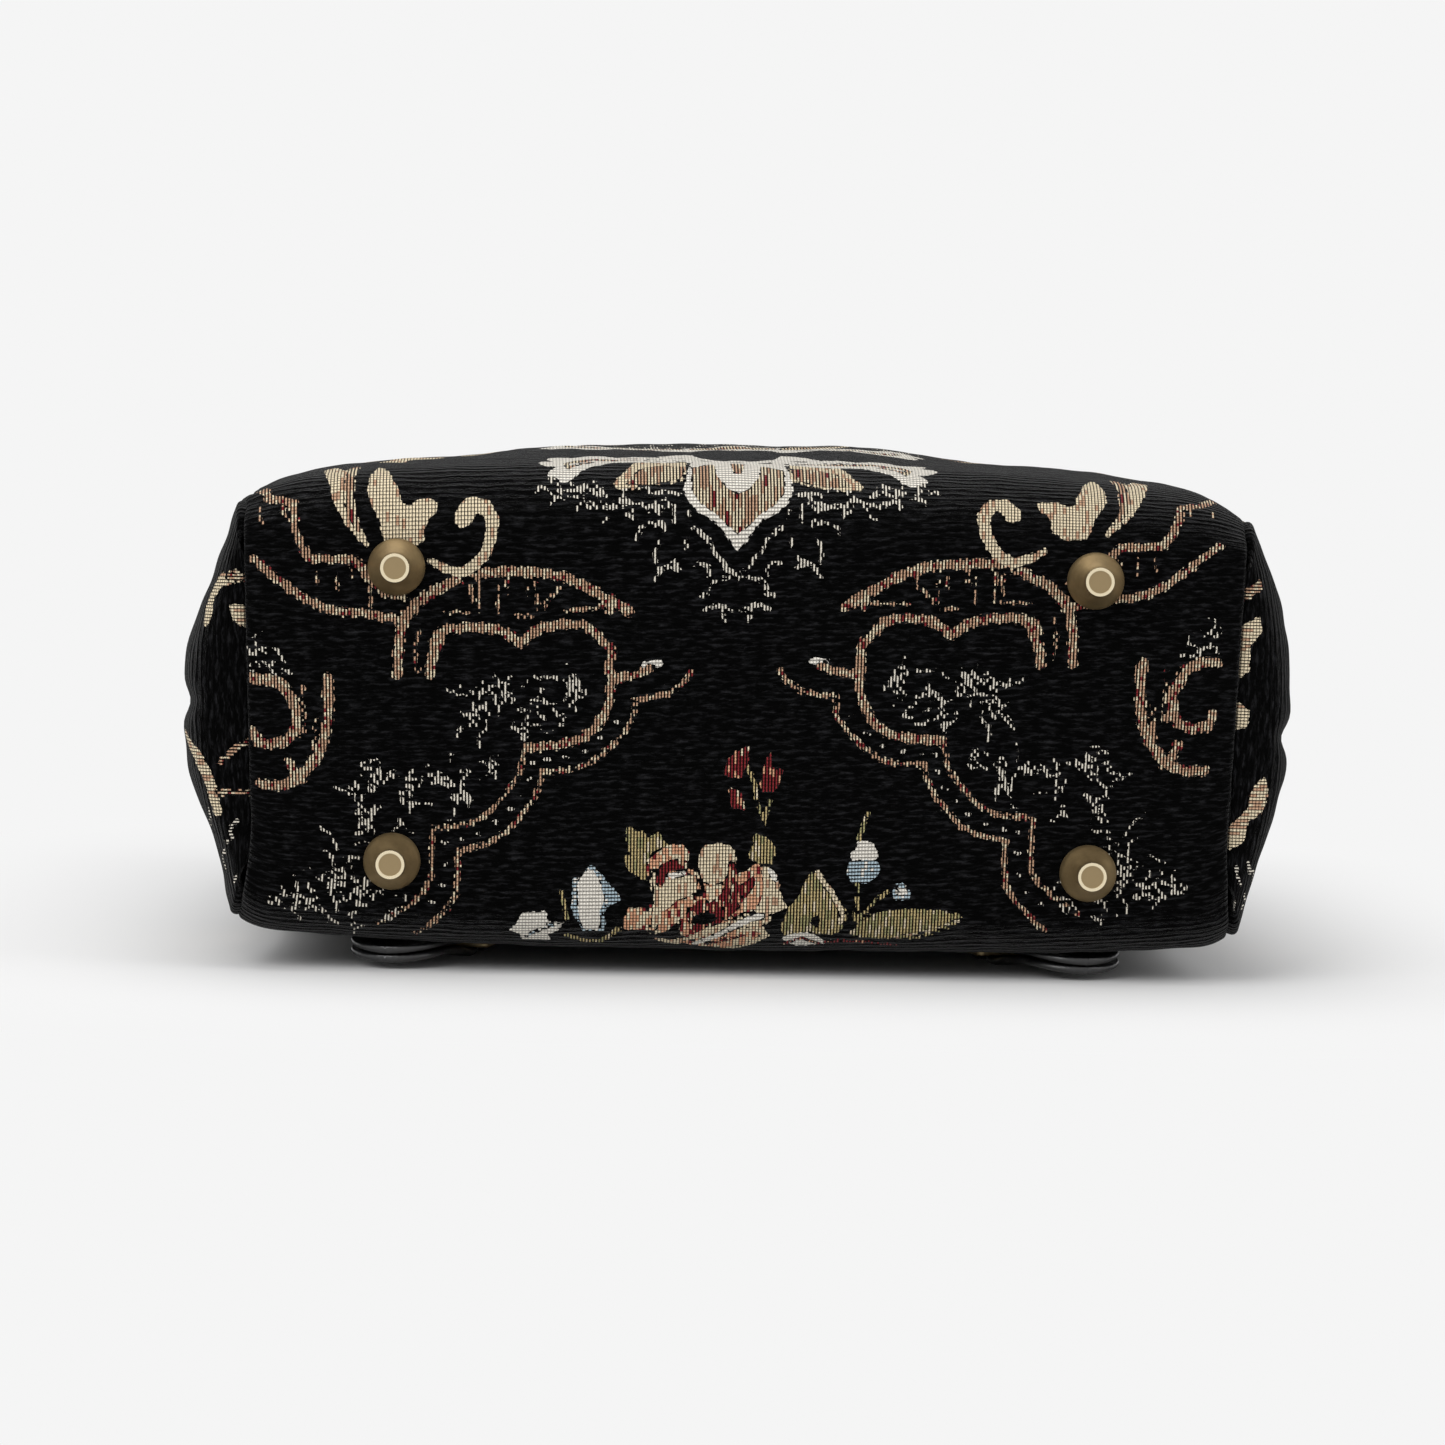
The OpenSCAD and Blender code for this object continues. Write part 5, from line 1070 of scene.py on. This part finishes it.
def band(name, side, route, ends, bow, replaced):
    """Leather strip on the back: a flat section with round edges carried along a route of distances off the back and
    lengths up the strap. ends says which of its ends are round tongues, and bow how far its edges curl to the bag."""
    route = np.concatenate(route)
    legs = np.hypot(*np.diff(route, axis=0).T)
    place = np.concatenate([[0], np.cumsum(legs)])
    total, r = place[-1], STRAP_W / 2
    close = r * (1 - np.cos(np.linspace(0, np.pi / 2, 12)))
    spots = np.unique(np.concatenate([place, close * (ends[0] > 0), total - close * (ends[1] > 0)]).round(3))
    spots = spots[np.concatenate([[True], np.diff(spots) > 0.02])]
    n, t = (np.interp(spots, place, route[:, i]) for i in (0, 1))
    way = np.stack([np.gradient(n, spots), np.gradient(t, spots)], -1)
    way /= np.linalg.norm(way, axis=-1, keepdims=True)
    half = np.full(len(spots), r)
    for tongue, gap in zip(ends, (spots, total - spots)):
        if tongue:
            half = np.minimum(half, np.sqrt(np.clip(r * r - (r - gap).clip(0) ** 2, 0.3, None)))
    edge = STRAP_T / 2
    turn = np.radians(np.linspace(-90, 90, 7))
    flat = np.linspace(-1, 1, 9)[1:-1]
    share = np.concatenate([np.ones(7), flat[::-1], -np.ones(7), flat])
    over = np.concatenate([np.cos(turn), 0 * flat, -np.cos(turn), 0 * flat]) * edge
    rise = np.concatenate([np.sin(turn), 0 * flat + 1, -np.sin(turn), 0 * flat - 1]) * edge
    across = share[None] * (half[:, None] - edge).clip(0.05) + over[None]
    curl = bow * (across / r) ** 2 * (1 - smooth(10, 34, t))[:, None]
    nn = n[:, None] + rise[None] * way[:, 1:] - curl
    tt = t[:, None] - rise[None] * way[:, :1]
    lean = -side * math.atan2(TAB_X - STRAP_TOP_X, TOP_Z - STRAP_TOP_DROP - TAB_Z)
    shape = lay(
        side * TAB_X + across * math.cos(lean) + tt * math.sin(lean),
        BACK_Y + nn,
        TAB_Z - across * math.sin(lean) + tt * math.cos(lean),
    )
    caps = np.broadcast_to(shape.mean(1, keepdims=True), shape.shape)
    shape = np.concatenate([caps[:1], shape, caps[-1:]])
    ride(grid_piece(name, shape, LOOKS["leather"], closed=True), "bag", "leather", replaced)


def leather_bands():
    """Both tabs and both straps: each loops round its ring's bar, and the strap weaves through its slide."""
    inner, outer, high = SEAT + STRAP_T / 2, SEAT + 1.5 * STRAP_T + SLIT, STACK - STRAP_T / 2
    mid, corner = (inner + high) / 2, 1.6
    low_bar = TAB_L - STRAP_T - RING_ROOM - RING_BAR / 2
    high_bar = low_bar + RING_BAR + RING_GAP
    reach = high - mid - corner
    fold = high_bar - RING_BAR / 2 - RING_ROOM - STRAP_T + FOLD_L
    slide = fold + SLIDE_H / 2 + 2 * SLIDE_BAR
    over = inner + STRAP_T + 2 * RING_ROOM + SLIDE_T
    slot_end = SLIDE_H / 2 - SLIDE_BAR
    length = math.hypot(TAB_X - STRAP_TOP_X, TOP_Z - STRAP_TOP_DROP - TAB_Z)
    ramp = (TOP_Z - PATCH_DROP - PATCH_H - TAB_Z) / ((TOP_Z - STRAP_TOP_DROP - TAB_Z) / length) - STRAP_W / 2
    raised = inner + PATCH_T + SEAT
    tab = [
        run(inner, 0, low_bar, 30),
        arc(mid - reach, low_bar + reach, corner, 180, 90),
        arc(mid + reach, low_bar + reach, corner, 90, 0),
        ease(high, low_bar - 2, outer, low_bar - LOOP_L),
        run(outer, low_bar - LOOP_L - 1, 0, 24),
    ]
    strap = [
        run(outer, fold, high_bar + LOOP_L, 16),
        ease(outer, high_bar + LOOP_L - 1, high, high_bar + 2),
        arc(mid + reach, high_bar - reach, corner, 0, -90),
        arc(mid - reach, high_bar - reach, corner, -90, -180),
        run(inner, high_bar + 2, slide - slot_end, 16),
        ease(inner, slide - slot_end + 0.4, over, slide - SLIDE_BAR / 2),
        ease(over, slide + SLIDE_BAR / 2, inner, slide + slot_end - 0.4),
        run(inner, slide + slot_end, ramp - STRAP_W / 2, 16),
        ease(inner, ramp - STRAP_W / 2 + 0.5, raised, ramp),
        run(raised, ramp + 1, length, 12),
    ]
    for side, label in ((-1, "left"), (1, "right")):
        band(label + "_tab_leather", side, tab, (1, 1), TAB_CURL, label + "_tab")
        band(label + "_strap_leather", side, strap, (0, 0), 0.0, label + "_strap")


leather_bands()


def soft_edges(node, width):
    """Welds a CAD node's loose triangles and rounds its sharp edges."""
    weld = node.modifiers.new("weld", "WELD")
    weld.merge_threshold = 0.00001
    round_off = node.modifiers.new("edges", "BEVEL")
    round_off.width, round_off.segments, round_off.limit_method = width, 3, "ANGLE"
    round_off.angle_limit = math.radians(35)


EDGES = {
    **{foot: 0.00025 for foot in FEET},
    "strap_patch": 0.0006, "zip_slider": 0.0003, "zip_pull": 0.00035, "zip_end_stops": 0.0002, "rivets": 0.0002,
    "left_slide": 0.0004, "right_slide": 0.0004, "left_ring": 0.0005, "right_ring": 0.0005,
}
for name, look in {
    **{foot: "foot_brass" for foot in FEET},
    "foot_washers": "brass", "zip_end_stops": "brass", "zip_slider": "brass", "zip_pull": "brass", "rivets": "brass",
    "left_slide": "brass", "right_slide": "brass", "left_ring": "brass", "right_ring": "brass",
    "base_board": "fibre_board", "strap_patch": "leather", "carry_handle": "leather",
    "front_zip_tape": "zip_weave", "back_zip_tape": "zip_weave",
}.items():
    nodes[name].data.materials.clear()
    nodes[name].data.materials.append(LOOKS[look])
    if name in EDGES:
        soft_edges(nodes[name], EDGES[name])


# Stage, light and camera


BACKGROUND, SKY = 0.913, 0.66
SHADOW_X, SHADOW_Y, FADE, FADE_SOFT, FLOOR_HALF = 0.13, 0.165, 0.075, 0.07, 4.0


def studio():
    """Pale floor that keeps the shadow near the bag and fades into the white background, with three soft lamps."""
    look = Look("pale_floor", Base_Color=(0.74, 0.74, 0.74), Roughness=0.9, Specular_IOR_Level=0.0)
    x, y, _ = look.split(look.place())
    side = (x.math("ABSOLUTE") - SHADOW_X).math("MAXIMUM", 0.0)
    end = (y.math("ABSOLUTE") - SHADOW_Y).math("MAXIMUM", 0.0)
    far = (side * side + end * end).math("SQRT").above(FADE, FADE_SOFT)
    white = look.node("Emission", {}, {"Color": (BACKGROUND,) * 3})
    both = look.node("MixShader", {}, {0: far * look.seen(), 1: look.surface(), 2: white})
    look.feed(look.end.inputs[0], both)
    sides = np.array([-FLOOR_HALF, FLOOR_HALF])
    points = np.stack(np.broadcast_arrays(sides[:, None], sides[None], 0.0), -1)
    floor = grid_piece("floor", points, look.material)

    world = bpy.data.worlds.new("studio")
    bpy.context.scene.world = world
    world.use_nodes = True
    sky = Nodes(world.node_tree)
    dim = sky.node("Background", {}, {"Color": (1, 1, 1), "Strength": SKY})
    bright = sky.node("Background", {}, {"Color": (BACKGROUND,) * 3})
    both = sky.node("MixShader", {}, {0: sky.seen(), 1: dim, 2: bright})
    sky.feed(sky.tree.nodes.new("ShaderNodeOutputWorld").inputs[0], both)
    lamps = {
        "top": ((-0.25, 0.1, 1.5), 1.3, 8.0),
        "front": ((-0.9, -1.3, 1.1), 1.2, 15.0),
        "right": ((1.5, -0.5, 0.9), 1.2, 9.0),
    }
    for label, (spot, size, power) in lamps.items():
        lamp = bpy.data.lights.new(label + "_lamp", "AREA")
        lamp.size, lamp.energy = size, power
        holder = bpy.data.objects.new(label + "_lamp", lamp)
        bpy.context.scene.collection.objects.link(holder)
        holder.matrix_world = facing(spot, (0, 0, 0.07))


def facing(spot, target, roll=0.0):
    """Matrix at a spot whose -Z looks at a target, turned about that line by roll in degrees."""
    back = np.array(spot, float) - np.array(target, float)
    back /= np.linalg.norm(back)
    right = np.cross([0, 0, 1], back)
    right /= np.linalg.norm(right)
    up = np.cross(back, right)
    r = math.radians(roll)
    right, up = math.cos(r) * right + math.sin(r) * up, math.cos(r) * up - math.sin(r) * right
    return Matrix([[*row] for row in np.vstack([np.stack([right, up, back, spot], 1), [0, 0, 0, 1]])])


def photo_camera():
    """Camera in front of the base, a little to the left and above it, on a long lens."""
    azimuth, elevation, distance = math.radians(-1.9), math.radians(3.6), 1.127
    target = np.array([-0.0060, (FOOT_H - TOTAL_H / 2) / 1000, 0.0725])
    way = np.array([
        math.sin(azimuth) * math.cos(elevation), -math.cos(azimuth) * math.cos(elevation), math.sin(elevation)
    ])
    lens = bpy.data.cameras.new("camera")
    lens.lens, lens.sensor_width, lens.clip_start = 100.0, 36.0, 0.01
    camera = bpy.data.objects.new("camera", lens)
    bpy.context.scene.collection.objects.link(camera)
    camera.matrix_world = facing(target + distance * way, target, roll=1.2)
    bpy.context.scene.camera = camera


studio()
photo_camera()
bpy.context.scene.view_settings.view_transform = "Standard"
